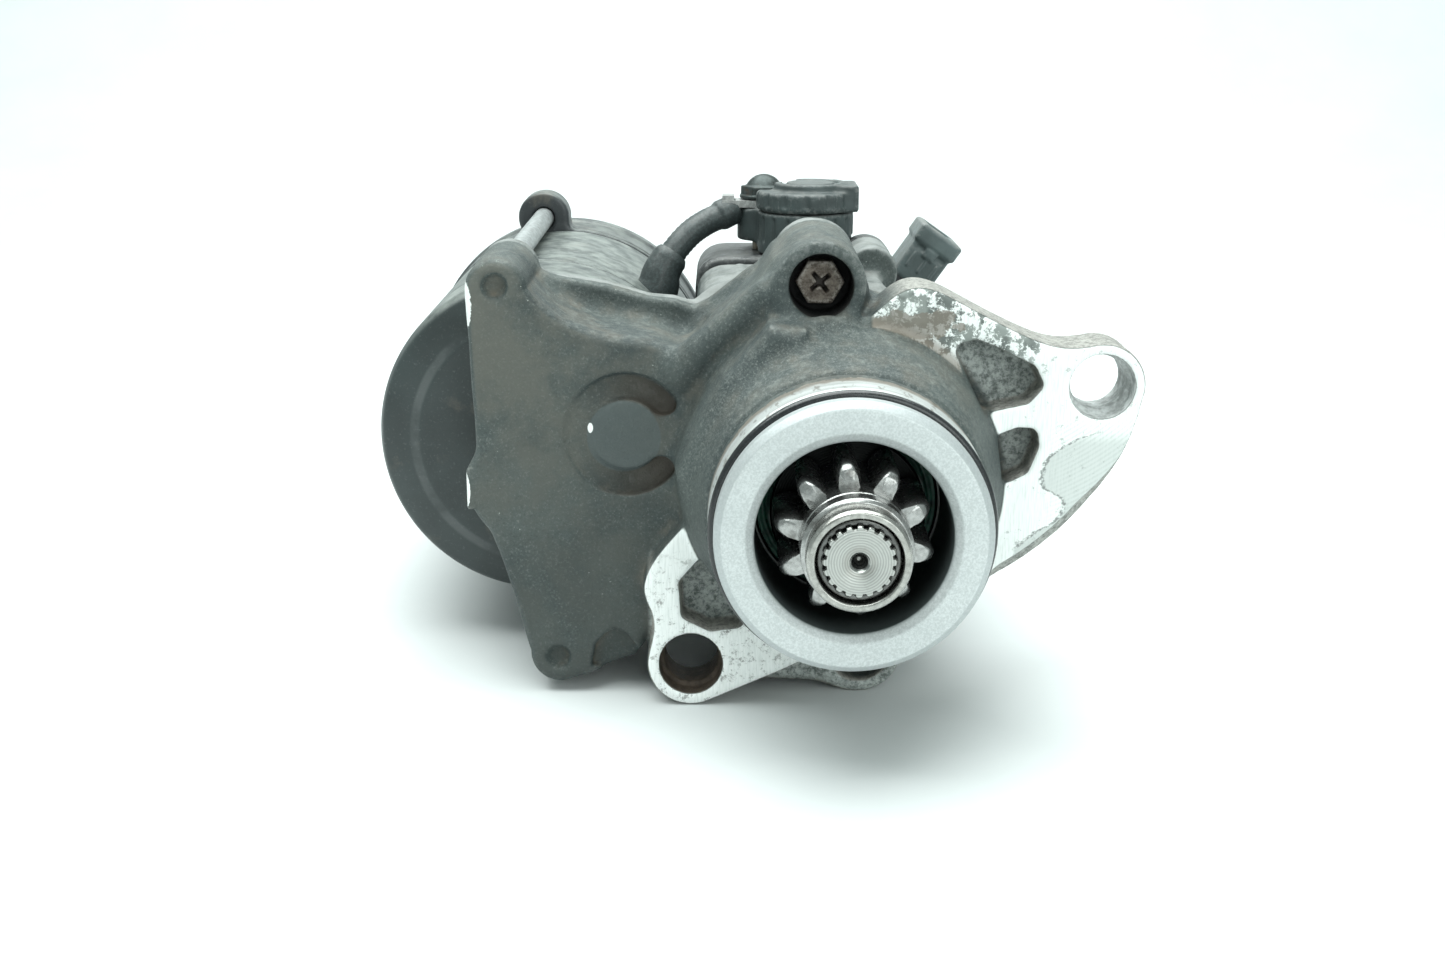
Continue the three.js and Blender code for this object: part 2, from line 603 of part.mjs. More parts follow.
piece('idler_pin', rod(IDLER_AXIS, IDLER_PIN_RADIUS, 10.8, 41, 14), ...STEEL);
const idlerOutline = gearShape(IDLER_AXIS, IDLER_TEETH, TO_MOTOR, reductionGear(IDLER_TEETH));
const idlerBlank = slab(idlerOutline, GEAR_FRONT_Y, GEAR_BACK_Y);
const idlerHub = rod(IDLER_AXIS, 8, GEAR_BACK_Y - 1, 37, 18);
const idlerBore = rod(IDLER_AXIS, IDLER_PIN_RADIUS + GAP, 10, 40, 14);
piece('idler_gear', idlerBlank.add(idlerHub).subtract(idlerBore), ...STEEL);

// ---------------------------------------------------------------- armature

/** The armature shaft with its pinion cut on the front end. */
function armatureShaft() {
  const outline = gearShape(MOTOR_AXIS, ARMATURE_TEETH, ARMATURE_PHASE, reductionGear(ARMATURE_TEETH));
  const shaft = turned(MOTOR_AXIS, [
    [0, 28], [5.4, 28], [5.4, 34], [5.7, 34.5], [5.7, 48], [ARMATURE_SHAFT_RADIUS, 48],
    [ARMATURE_SHAFT_RADIUS, 141], [3.9, 141], [3.9, 153], [0, 153],
  ], 16);
  return slab(outline, 13, 29).add(shaft);
}

const CORE_FRONT_Y = 60;
const CORE_BACK_Y = 112;
const SHAFT_SEAT = ARMATURE_SHAFT_RADIUS + GAP;
piece('armature_shaft', armatureShaft(), ...STEEL);
const core = ring(MOTOR_AXIS, ARMATURE_RADIUS, SHAFT_SEAT, CORE_FRONT_Y, CORE_BACK_Y, 24);
piece('armature_core', core, ...IRON);
piece('armature_winding_front', ring(MOTOR_AXIS, 22, SHAFT_SEAT, 50, CORE_FRONT_Y - GAP, 24), ...COPPER);
piece('armature_winding_rear', ring(MOTOR_AXIS, 22, SHAFT_SEAT, CORE_BACK_Y + GAP, 121, 24), ...COPPER);
piece('commutator', ring(MOTOR_AXIS, 16, SHAFT_SEAT, 121.5, 139, 24), ...COPPER);
piece('armature_front_bearing', ring(MOTOR_AXIS, 14, 6, SWITCH_FRONT_Y + 0.3, 46.9), ...STEEL);
piece('armature_rear_bearing', ring(MOTOR_AXIS, 11, 4.2, 147, 154), ...STEEL);

// ---------------------------------------------------------------- yoke and field

/** A sector of a ring between two angles in degrees. */
function sector(outer, inner, fromDegrees, toDegrees, frontY, backY, curveSegments = 4) {
  const shape = new THREE.Shape();
  shape.absarc(...MOTOR_AXIS, outer, fromDegrees * DEGREE, toDegrees * DEGREE);
  shape.absarc(...MOTOR_AXIS, inner, toDegrees * DEGREE, fromDegrees * DEGREE, true);
  return slab(shape, frontY, backY, curveSegments);
}

/** A cylinder that points away from the motor axis at the lead's angle. */
function leadBore(radius, fromRadius, toRadius) {
  const geometry = new THREE.CylinderGeometry(radius, radius, toRadius - fromRadius, 12);
  geometry.translate(0, (fromRadius + toRadius) / 2, 0);
  geometry.rotateX(Math.PI / 2);
  geometry.rotateY((90 - LEAD_ANGLE) * DEGREE);
  geometry.translate(MOTOR_AXIS[0], LEAD_Y, MOTOR_AXIS[1]);
  return solidFrom(geometry);
}

const yokeProfile = [
  [14.3, YOKE_FRONT_Y], [30, YOKE_FRONT_Y], [31, YOKE_FRONT_Y + 0.8], [34, YOKE_FRONT_Y + 0.8],
  [37.2, YOKE_FRONT_Y + 2.2], [YOKE_RADIUS, YOKE_FRONT_Y + 5.5],
  [YOKE_RADIUS, YOKE_BACK_Y], [YOKE_BORE_RADIUS, YOKE_BACK_Y],
  [YOKE_BORE_RADIUS, 47.6], [14.3, 47.6], [14.3, YOKE_FRONT_Y],
];
piece('yoke', turned(MOTOR_AXIS, yokeProfile, 40).subtract(leadBore(5.3, 30, 45)), ...PAINTED);

for (let k = 0; k < POLE_COUNT; k++) {
  const middle = (k * 360) / POLE_COUNT;
  const pole = sector(34.6, ARMATURE_RADIUS + 0.6, middle - 25, middle + 25, 58, 114);
  piece(`pole_core_${k + 1}`, pole, ...IRON);
}
const FIELD_OUTER = 34.4;
const FIELD_INNER = 26;
const fieldWinding = joined([
  ring(MOTOR_AXIS, FIELD_OUTER, FIELD_INNER, 50, 57.7, 24),
  ring(MOTOR_AXIS, FIELD_OUTER, FIELD_INNER, 114.3, 121, 24),
  ...[45, 135, 225, 315].map((middle) => (
    sector(FIELD_OUTER, FIELD_INNER, middle - 15, middle + 15, 57, 115, 2)
  )),
]);
piece('field_winding', fieldWinding, ...COPPER);

// ---------------------------------------------------------------- brushes

const BRUSH_WIDTH = 10;
const BRUSH_INNER = 16 + GAP;
const BRUSH_OUTER = 27;
const BRUSH_FRONT_Y = 127;
const BRUSH_BACK_Y = 136.7;
const HOLDER_FRONT_Y = BRUSH_BACK_Y + GAP;

/** A box that lies along X away from the motor axis, turned round it by an angle in degrees. */
function spoke(fromRadius, toRadius, halfWidth, frontY, backY, degrees) {
  const geometry = new THREE.BoxGeometry(toRadius - fromRadius, backY - frontY, 2 * halfWidth);
  geometry.translate((fromRadius + toRadius) / 2, (frontY + backY) / 2, 0);
  geometry.rotateY(-degrees * DEGREE);
  geometry.translate(MOTOR_AXIS[0], 0, MOTOR_AXIS[1]);
  return solidFrom(geometry);
}

const brushAngles = Array.from({ length: BRUSH_COUNT }, (_, k) => 45 + (k * 360) / BRUSH_COUNT);
const brushGuides = brushAngles.map((angle) => {
  const outside = spoke(18, 34, BRUSH_WIDTH / 2 + GAP + 1.5, BRUSH_FRONT_Y, HOLDER_FRONT_Y + 1, angle);
  return outside.subtract(spoke(17, 35, BRUSH_WIDTH / 2 + GAP, BRUSH_FRONT_Y - 1, HOLDER_FRONT_Y, angle));
});
piece('brush_holder', joined([ring(MOTOR_AXIS, 37, 17.5, HOLDER_FRONT_Y, 139), ...brushGuides]), ...ZINC);
brushAngles.forEach((angle, k) => {
  const brush = spoke(BRUSH_INNER, BRUSH_OUTER, BRUSH_WIDTH / 2, BRUSH_FRONT_Y, BRUSH_BACK_Y, angle);
  piece(`brush_${k + 1}`, brush, ...CARBON);
});

// ---------------------------------------------------------------- rear cover

const rearProfile = [
  [38, REAR_FRONT_Y], [REAR_RADIUS, REAR_FRONT_Y], [REAR_RADIUS, 151], [38.5, 155.5], [34, REAR_BACK_Y],
  [0, REAR_BACK_Y], [0, 154.6], [11.3, 154.6], [11.3, 146.5], [14.5, 146.5], [14.5, 154.6],
  [34, 154.6], [38, 151],
  [38, REAR_FRONT_Y],
];
const bottomEarRadius = BOTTOM_BOLT[1] - REST_Z;
const rearEars = joined([
  rod(TOP_BOLT, 7.2, REAR_FRONT_Y, REAR_EAR_BACK_Y),
  rod(BOTTOM_BOLT, bottomEarRadius, REAR_FRONT_Y, REAR_EAR_BACK_Y),
]);
const rearEarCuts = joined([
  rod(MOTOR_AXIS, 38, REAR_FRONT_Y - 1, 140, 28),
  rod(TOP_BOLT, BOLT_RADIUS + GAP, 120, 150, 12),
  rod(BOTTOM_BOLT, BOLT_RADIUS + GAP, 120, 150, 12),
  slab(hexagon(TOP_BOLT, 10 + 2 * GAP), REAR_EAR_BACK_Y, 146),
  slab(hexagon(BOTTOM_BOLT, 10 + 2 * GAP), REAR_EAR_BACK_Y, 146),
]);
piece('rear_cover', turned(MOTOR_AXIS, rearProfile, 28).add(rearEars).subtract(rearEarCuts), ...PAINTED);

// ---------------------------------------------------------------- magnetic switch

/** The switch's outline from the front: the round coil case with its square shoulder on top. */
function switchOutline(radius, left, roof, frontY, backY) {
  const shoulder = new THREE.Shape();
  shoulder.moveTo(13, 0);
  shoulder.lineTo(13, roof - 2);
  shoulder.quadraticCurveTo(13, roof, 11, roof);
  shoulder.lineTo(left + 8, roof);
  shoulder.quadraticCurveTo(left, roof, left, roof - 8);
  shoulder.lineTo(left, 15);
  shoulder.lineTo(left + 6, 0);
  return rod(PINION_AXIS, radius, frontY, backY, 28).add(slab(shoulder, frontY, backY));
}

const COVER_SCREW_RADIUS = 2;
const COVER_EAR_RADIUS = 6.6;
const COVER_EAR_BACK_Y = 84;

/** The aluminium housing that closes the gear case and holds the coil. */
function switchHousing() {
  const screwBosses = [
    rod(TOP_LUG, 8, PLATE_BACK_Y - 1, 60, 16),
    rod(BOTTOM_LUG, 8, PLATE_BACK_Y - 1, 60, 16),
    block([0, PLATE_BACK_Y - 1, -38], [11, 60, -28]),
    ...COVER_SCREWS.map((axis) => rod(axis, COVER_EAR_RADIUS, 58, SWITCH_BACK_Y, 16)),
  ];
  const outside = joined([
    caseOutline(SWITCH_FRONT_Y, PLATE_BACK_Y),
    switchOutline(SWITCH_RADIUS, -33, 38, PLATE_BACK_Y - 1, SWITCH_BACK_Y),
    ...screwBosses,
  ]);
  const cuts = joined([
    rod(PINION_AXIS, SWITCH_BORE_RADIUS, PLATE_BACK_Y, SWITCH_BACK_Y + 1, 28),
    rod(PINION_AXIS, 4.6, 30, 50, 12),
    rod(MOTOR_AXIS, 14.3, 30, 50),
    rod(IDLER_AXIS, IDLER_PIN_RADIUS + GAP, 30, 41.3, 14),
    rod(TOP_BOLT, BOLT_RADIUS + GAP, 30, 50, 12),
    rod(BOTTOM_BOLT, BOLT_RADIUS + GAP, 30, 50, 12),
    rod(TOP_LUG, SCREW_RADIUS + GAP, 30, 57, 12),
    rod(BOTTOM_LUG, SCREW_RADIUS + GAP, 30, 57, 12),
    ...COVER_SCREWS.map((axis) => rod(axis, COVER_SCREW_RADIUS + GAP, 60, SWITCH_BACK_Y + 1, 10)),
  ]);
  return outside.subtract(cuts);
}

/** The moulded cover over the contacts, with the neck that carries the signal connector. */
function switchCover() {
  const neck = slab(polygon([[8, 20], [18, 37.6], [28.3, 31.4], [26, 10]]), 80, 97);
  const outside = joined([
    switchOutline(SWITCH_RADIUS + 0.5, -33.5, COVER_ROOF_Z, COVER_FRONT_Y, COVER_BACK_Y - 2),
    switchOutline(SWITCH_RADIUS - 1.5, -31, COVER_ROOF_Z - 2, COVER_BACK_Y - 3, COVER_BACK_Y),
    neck,
    ...COVER_SCREWS.map((axis) => rod(axis, COVER_EAR_RADIUS, COVER_FRONT_Y, COVER_EAR_BACK_Y, 16)),
  ]);
  const hollow = switchOutline(SWITCH_BORE_RADIUS + 0.5, -30, 36, COVER_FRONT_Y - 1, COVER_BACK_Y - 3.5);
  const headRoom = rod(COVER_SCREWS[0], 5.2, COVER_EAR_BACK_Y, COVER_BACK_Y + 1, 16);
  const holes = [
    post(BATTERY_STUD, 4.3, 30, 45),
    post(MOTOR_STUD, 3.3, 30, 45),
    ...COVER_SCREWS.map((axis) => rod(axis, COVER_SCREW_RADIUS + GAP, 70, COVER_EAR_BACK_Y + 1, 10)),
  ];
  return outside.subtract(joined([hollow, headRoom, ...holes]));
}

piece('switch_housing', switchHousing(), ...PAINTED);
piece('switch_cover', switchCover(), ...PLASTIC);
COVER_SCREWS.forEach((axis, k) => {
  const head = rod(axis, 3.8, COVER_EAR_BACK_Y + GAP, COVER_EAR_BACK_Y + 3.3, 12);
  const shank = rod(axis, COVER_SCREW_RADIUS, 62, COVER_EAR_BACK_Y + 1, 8);
  piece(`cover_screw_${k + 1}`, head.add(shank), ...ZINC);
});

piece('switch_coil', ring(PINION_AXIS, 27.6, PLUNGER_RADIUS + 0.6, 46, 76), ...COPPER);
const plungerProfile = [
  [0, 34.7], [2.8, 34.7], [2.8, 57], [PLUNGER_RADIUS, 57], [PLUNGER_RADIUS, 84], [4, 84],
  [4, 103], [0, 103],
];
piece('plunger', turned(PINION_AXIS, plungerProfile, 18), ...STEEL);
piece('contact_disc', ring(PINION_AXIS, 24, 4 + GAP, 96, 98), ...COPPER);

/** A copper terminal: contact plate, foot and stud in one piece. */
function terminal([x, y], halfWidth, studRadius, topZ) {
  return joined([
    block([x - halfWidth, 80.6, 14], [x + halfWidth, 83.2, 32]),
    block([x - halfWidth, 80.6, 29], [x + halfWidth, y + 6, 32]),
    post([x, y], studRadius, 31, topZ, 12),
  ]);
}

piece('battery_terminal', terminal(BATTERY_STUD, 5.5, 4, 56.5), ...COPPER);
piece('motor_terminal', terminal(MOTOR_STUD, 5.5, 3, 59.6), ...COPPER);

// ---------------------------------------------------------------- terminal block, cap and lead

const BLOCK_CENTRE = [-4.8, 87];
const BLOCK_TOP_Z = 50.6;
const CABLE_SEAT_Z = BLOCK_TOP_Z + 0.7; // the raised pad that the battery cable's lug lies on
const terminalBlock = joined([
  post(BLOCK_CENTRE, 12.4, COVER_ROOF_Z + GAP, BLOCK_TOP_Z, 24),
  post(MOTOR_STUD, 7, 42.2, BLOCK_TOP_Z),
  post(BATTERY_STUD, 8.2, BLOCK_TOP_Z - 1, CABLE_SEAT_Z, 24),
]).subtract(joined([
  post(BATTERY_STUD, 4.3, 38, 55),
  post(MOTOR_STUD, 3.3, 38, 55),
  rod(COVER_SCREWS[0], COVER_EAR_RADIUS + GAP, 70, COVER_EAR_BACK_Y + 3.6),
]));
piece('terminal_block', terminalBlock, ...PLASTIC);

const CAP_TOP_Z = 58;
const LUG_LOW_Z = BLOCK_TOP_Z + GAP;
const capSkirt = post(BLOCK_CENTRE, 12.9, LUG_LOW_Z, CAP_TOP_Z, 24);
const capTab = block([3, 80, LUG_LOW_Z], [8.6, 94, CAP_TOP_Z]);
const capHollow = post(BLOCK_CENTRE, 11.2, 48, CAP_TOP_Z - 1.2, 24);
const nutNotch = post(MOTOR_STUD, 8.4, 48, CAP_TOP_Z + 2);
piece('terminal_cap', capSkirt.add(capTab).subtract(capHollow).subtract(nutNotch), ...PLASTIC);

const LUG_HIGH_Z = LUG_LOW_Z + 1.8;
const lugTongue = block([-26.5, 91, LUG_LOW_Z], [MOTOR_STUD[0], 98, LUG_HIGH_Z]);
const lugBarrel = block([-26.5, 91.5, LUG_LOW_Z], [-23.4, 97, LUG_LOW_Z + 3]);
const lug = joined([post(MOTOR_STUD, 6.6, LUG_LOW_Z, LUG_HIGH_Z), lugTongue, lugBarrel]);
piece('lead_lug', lug.subtract(post(MOTOR_STUD, 3.3, 48, 58)), ...COPPER);
const nutBlank = plate(hexagon(MOTOR_STUD, 11), LUG_HIGH_Z + GAP, LUG_HIGH_Z + 5.3);
piece('motor_nut', nutBlank.subtract(post(MOTOR_STUD, 3.3, 48, 62)), ...ZINC);

/** A point on the line that the lead takes out through the yoke. */
function leadPoint(radius) {
  const [x, z] = around(MOTOR_AXIS, radius, LEAD_ANGLE);
  return new THREE.Vector3(x, LEAD_Y, z);
}

const leadRoute = new THREE.CatmullRomCurve3([
  leadPoint(34.8), leadPoint(39), leadPoint(43.5),
  new THREE.Vector3(-39.8, 84.6, 36.4), new THREE.Vector3(-38.3, 86.2, 41.6),
  new THREE.Vector3(-35.6, 89, 46.8), new THREE.Vector3(-31.6, 92.6, 50.9),
  new THREE.Vector3(-28, 94.2, 52.2),
]);
const leadSection = new THREE.Shape();
leadSection.absarc(0, 0, LEAD_RADIUS, 0, 2 * Math.PI);
const leadTube = new THREE.ExtrudeGeometry(
  leadSection, { steps: 14, curveSegments: 4, extrudePath: leadRoute });
piece('motor_lead', solidFrom(leadTube), ...RUBBER);

const grommetBore = LEAD_RADIUS + GAP;
const grommetProfile = [
  [grommetBore, 35.4], [5, 35.4], [5, YOKE_RADIUS + GAP], [7, YOKE_RADIUS + 0.5], [6.4, 41],
  [4.6, 43], [grommetBore, 43], [grommetBore, 35.4],
];
const grommet = new THREE.LatheGeometry(
  grommetProfile.map(([radius, along]) => new THREE.Vector2(radius, along)), 12);
grommet.rotateX(Math.PI / 2);
grommet.rotateY((90 - LEAD_ANGLE) * DEGREE);
grommet.translate(MOTOR_AXIS[0], LEAD_Y, MOTOR_AXIS[1]);
const yokeSkin = rod(MOTOR_AXIS, YOKE_RADIUS + GAP, 60, 110, 40).subtract(leadBore(5.1, 30, 45));
piece('lead_grommet', solidFrom(grommet).subtract(yokeSkin), ...RUBBER);

// ---------------------------------------------------------------- signal connector

// Drawn standing on its base, then tilted so that its mouth faces up and to the right.
const CONNECTOR_TILT = 35;
const CONNECTOR_BASE = [23.6, 35];
const connectorOutside = block([-6.2, 79, 0.4], [6.2, 96, 12]);
const connectorSocket = block([-3.9, 81.5, 2.6], [3.9, 93.5, 13]);
const connectorBlade = block([-0.5, 84.5, 2], [0.5, 90.5, 10.5]);
const connector = connectorOutside.subtract(connectorSocket).add(connectorBlade);
piece('signal_connector', connector, ...PLASTIC);
const connectorMesh = model.getObjectByName('signal_connector');
connectorMesh.rotation.y = CONNECTOR_TILT * DEGREE;
connectorMesh.position.set(CONNECTOR_BASE[0], 0, CONNECTOR_BASE[1]);

// ---------------------------------------------------------------- stand the part on its origin

const bounds = new THREE.Box3().setFromObject(model, true);
const centre = bounds.getCenter(new THREE.Vector3());
model.position.set(-centre.x, -centre.y, -bounds.min.z);

export default model;
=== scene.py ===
"""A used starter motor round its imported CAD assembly: castings, turned faces, gears and finishes.

Shapes are drawn in design millimetres, X right, Y back and Z up, from the pinion's axis in the
front face of the mounting flange. Castings are built as distances to a solid on a grid of points,
which joins and cuts with soft fillets, and turned or toothed pieces as rings of points.
"""
import math

import bpy
import numpy as np
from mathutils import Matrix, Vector


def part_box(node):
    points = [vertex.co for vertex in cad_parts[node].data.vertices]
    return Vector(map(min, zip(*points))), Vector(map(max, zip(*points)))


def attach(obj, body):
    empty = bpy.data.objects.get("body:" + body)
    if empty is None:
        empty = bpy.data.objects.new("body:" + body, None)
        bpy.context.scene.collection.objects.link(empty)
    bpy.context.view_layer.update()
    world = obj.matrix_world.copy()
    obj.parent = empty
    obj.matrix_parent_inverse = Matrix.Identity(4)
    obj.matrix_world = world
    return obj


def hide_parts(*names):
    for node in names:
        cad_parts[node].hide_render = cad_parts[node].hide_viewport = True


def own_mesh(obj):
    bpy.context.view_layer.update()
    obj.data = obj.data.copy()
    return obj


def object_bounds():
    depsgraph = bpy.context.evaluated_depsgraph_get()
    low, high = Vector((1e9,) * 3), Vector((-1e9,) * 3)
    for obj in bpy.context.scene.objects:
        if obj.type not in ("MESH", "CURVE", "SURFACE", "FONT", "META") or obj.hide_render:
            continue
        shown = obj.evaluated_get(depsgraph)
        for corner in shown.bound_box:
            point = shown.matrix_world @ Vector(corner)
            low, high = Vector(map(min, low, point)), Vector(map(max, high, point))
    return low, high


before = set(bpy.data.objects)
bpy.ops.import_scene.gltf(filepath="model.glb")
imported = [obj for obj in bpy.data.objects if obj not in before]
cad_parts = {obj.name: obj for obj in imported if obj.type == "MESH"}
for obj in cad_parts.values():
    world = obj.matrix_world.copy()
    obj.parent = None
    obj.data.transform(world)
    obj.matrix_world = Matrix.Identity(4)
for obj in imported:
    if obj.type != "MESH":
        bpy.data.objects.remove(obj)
CAD_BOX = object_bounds()


# ---------------------------------------------------------------- the frame, in design millimetres

MM = 0.001
RING_FACE_Y = -43.0
SHAFT_LOW, SHAFT_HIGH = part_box("pinion_shaft")
ORIGIN = Vector((
    (SHAFT_LOW.x + SHAFT_HIGH.x) / 2,
    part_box("drive_housing")[0].y - RING_FACE_Y * MM,
    (SHAFT_LOW.z + SHAFT_HIGH.z) / 2,
))


def middle(node):
    """The centre of a CAD node's box, in design millimetres."""
    low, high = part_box(node)
    return ((low + high) / 2 - ORIGIN) / MM


def seen_axis(node):
    """The axis along Y through a CAD node, as x and z."""
    centre = middle(node)
    return (centre.x, centre.z)


PINION = (0.0, 0.0)
MOTOR = seen_axis("commutator")
IDLER = seen_axis("idler_pin")
TOP_LUG = seen_axis("housing_screw_top")
BOTTOM_LUG = seen_axis("housing_screw_bottom")
TOP_BOLT = seen_axis("through_bolt_top")
BOTTOM_BOLT = seen_axis("through_bolt_bottom")
COVER_SCREWS = [seen_axis(f"cover_screw_{k}") for k in (1, 2, 3)]
FLOOR_Z = (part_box("drive_housing")[0].z - ORIGIN.z) / MM

FLANGE_BACK_Y = 15.0
CASE_FRONT_Y = 8.0
CASE_BACK_Y = 38.3
SPLIT_Y = 38.6
PLATE_BACK_Y = 43.0
SWITCH_BACK_Y = 78.0
COVER_FRONT_Y = 78.3
COVER_BACK_Y = 110.0
YOKE_FRONT_Y = 43.3
YOKE_BACK_Y = 128.0
REAR_FRONT_Y = 128.3
REAR_EAR_BACK_Y = 138.0
REAR_BACK_Y = 158.0
UPPER_EAR = (57.0, 22.2)
LOWER_EAR = (-33.7, -42.4)
BORE_RADIUS = 20.1
DRUM_RADIUS = 38.5
YOKE_RADIUS = 40.1
MOTOR_BOSS = (MOTOR[0], -2.5)
MOTOR_BOSS_RADIUS = 13.6
TOP_LUG_RADIUS = 9.9
BOTTOM_LUG_RADIUS = 9.8
DRUM_INSIDE = 35.6
LUG_BORE = 7.05
EAR_SEAT = 7.2
EAR_HOLE = 6.2
REAR_RADIUS = 40.3
REAR_BEAD = 41
CASE_LEFT_X = -84.6
BOLT_HOLE = 3.1
SCREW_HOLE = 3.3
COVER_SCREW_HOLE = 2.3
SCREW_FLATS = 9.4
BOLT_FLATS = 10.0
COVER_SCREW_HEAD = 3.8

# The groove round the idler's boss, as a circle's arc: radius, half width and angles in degrees.
GROOVE_RADIUS = 11.1
GROOVE_HALF_WIDTH = 2.9
GROOVE_MIDDLE = 178.5
GROOVE_HALF_ANGLE = 137.0
GROOVE_FADE_ANGLE = 143.5

# The pinion's teeth and the shaft's splines.
PINION_TEETH = 10
PINION_PITCH_RADIUS = 13.75
PINION_PRESSURE = math.radians(25)
PINION_TIP = 16.4
PINION_ROOT = 11.26
PINION_TOP_TOOTH = math.radians(96.5)
TOOTH_THINNING = -0.5
TIP_CROWN = 0.12
PINION_BORE = 7.72
SHAFT_RADIUS = 7.4
SPLINE_COUNT = 20
SPLINE_DEPTH = 0.65

# The return spring: its flat turns are those at each end.
SPRING_FRONT_Y = -13.2
SPRING_LENGTH = 24.0
SPRING_TURNS = 7
SPRING_FLAT_TURNS = 0.8
SPRING_RADIUS = 7.9
SPRING_WIRE = 0.6

# Terminals, as x and y, the lead's way into the motor, and the connector's base, as x and z.
BLOCK_CENTRE = (-4.8, 87.0)
BATTERY_STUD = (-3.0, 87.0)
MOTOR_STUD = (middle("motor_nut").x, middle("motor_nut").y)
CAP_BOTTOM_Z = 50.9
CAP_TOP_Z = 58.0
LEAD_ANGLE = math.radians(47)
LEAD_Y = 84.0
CONNECTOR_BASE = (23.6, 35.0)
CONNECTOR_TILT = 35.0

# How finely solids are cut into points, and how surfaces are shaded.
CASTING_PITCH = 0.6
FINE_PITCH = 0.4
SCREW_PITCH = 0.17
CONVEX_REACH = 1.6
SHARP_ANGLE = math.radians(38)
EDGE_WIDTH = 0.12
EDGE_ANGLE = math.radians(40)

# Light and paper.
WORLD_TINT = (0.86, 1.0, 0.975, 1)
WORLD_STRENGTH = 0.56
LAMP_TINT = (0.93, 1.0, 0.985)
LAMP_TARGET = (-20, 40, 0)
OVERHEAD_WATTS = 24.0
FRONT_FILL_WATTS = 6.0
PAPER_HALF_WIDTH = 3000.0
PAPER_FRONT_Y = -2500.0
PAPER_TURN_Y = 700.0
PAPER_TURN_RADIUS = 500.0
PAPER_TOP = 2600.0
PAPER_GAP = 0.05


# ---------------------------------------------------------------- camera

CAMERA_PLACE = (-26.46, -397.25, 107.45)
CAMERA_TILT = math.radians(75)
SENSOR_WIDTH = 36.0
LENS = 46.09

camera_data = bpy.data.cameras.new("camera")
camera_data.sensor_width = SENSOR_WIDTH
camera_data.lens = LENS
camera = bpy.data.objects.new("camera", camera_data)
camera.location = ORIGIN + Vector(CAMERA_PLACE) * MM
camera.rotation_euler = (CAMERA_TILT, 0, 0)
bpy.context.scene.collection.objects.link(camera)
bpy.context.scene.camera = camera


# ---------------------------------------------------------------- outlines in X and Z


def arc(centre, radius, start, end, steps=12):
    """Points round a centre from one angle to another, in degrees."""
    angles = np.radians(np.linspace(start, end, steps + 1))
    return [(centre[0] + radius * math.cos(t), centre[1] + radius * math.sin(t)) for t in angles]


def bend(a, b, c, d, steps=12):
    """Points along a cubic curve after its first one."""
    ts = [k / steps for k in range(1, steps + 1)]
    return [
        tuple(
            (1 - t) ** 3 * p + 3 * (1 - t) ** 2 * t * q + 3 * (1 - t) * t * t * r + t ** 3 * s
            for p, q, r, s in zip(a, b, c, d))
        for t in ts
    ]


def flange_outline():
    """The two-hole flange, from its lower right, anticlockwise."""
    upper_start = arc(UPPER_EAR, 9.6, -14, 96)
    left = LOWER_EAR[0] - 10
    return [
        (33.9, -22.4), *bend((33.9, -22.4), (50, -14), (63.5, 2), (66.2, 20)),
        *upper_start,
        *bend(upper_start[-1], (46.5, 29.8), (44, 31), (22.7, 42.4)),
        *bend((22.7, 42.4), (14.5, 46.6), (11.5, 43.8), (4, 36.2)),
        (-24, 18), (-34.6, -8.7),
        *bend((-34.6, -8.7), (-40, -15), (-47, -21.5), (-43.4, -28.5)),
        *bend((-43.4, -28.5), (-40.6, -34), (-43.6, -38), (left, LOWER_EAR[1])),
        *arc(LOWER_EAR, 10, 180, 288)[1:],
        (-13.3, -44.3), (10, -33),
    ]


def case_outline():
    """The plate in front of the gears, with its ears at the top and the bottom left."""
    ear = (-76.8, 42.4)
    foot = (-64.6, -43.5)
    return [
        (-30, 20), (-34.2, 26.5),
        *bend((-34.2, 26.5), (-40, 31.8), (-46, 31), (-51.4, 31.9)),
        *bend((-51.4, 31.9), (-58, 33), (-64, 35.4), (ear[0] + 6.9, ear[1])),
        *arc(ear, 6.9, 0, 180)[1:],
        (-82.2, 4.6), (-81.3, -7.9), (-74.8, -28.2), (-71.2, -42.6),
        *arc(foot, 6.6, 172, 290),
        (-46.7, -44.4), (-43.5, -38), (-36, -30), (-24, -28),
    ]


RIM_OUTLINE = [
    (-82, 44), (-70, 41.4), (-62, 40.6), (-54, 39.3), (-44, 36.4), (-38, 35.8), (-33, 34), (-29, 35.6),
    (-20, 42), (-10, 20), (-60, 10),
]
SHOULDER = [
    (-38, 22), (-33.6, 28.3), (-31.4, 31.6), (-18.3, 43.7), (-14.4, 47.5), (4.5, 42), (8, 20),
]
UNDERSIDE = [(-27, -49.5), (5, -51.4), (15, -40), (15, -26), (-27, -26)]
GUSSET = [(-8.5, 36.5), (-16.2, 37.4), (-26, 25.5), (-36.4, 4), (-33, -4), (-10, 10), (-8, 30)]
ARCH = [(-57, -46), (-56, -40.8), (-53.6, -38), (-51.3, -36.9), (-48.6, -38), (-46.5, -41), (-46, -48)]
GEAR_SPACE = [
    (-66, 30), (-79, 18), (-77.5, -8), (-69, -35.5), (-60, -38), (-44, -32), (-30, -16), (-30, 22),
    (-42, 26),
]
EAR_DIMPLES = [(-76.9, 43.2), (-64.7, -43.7)]
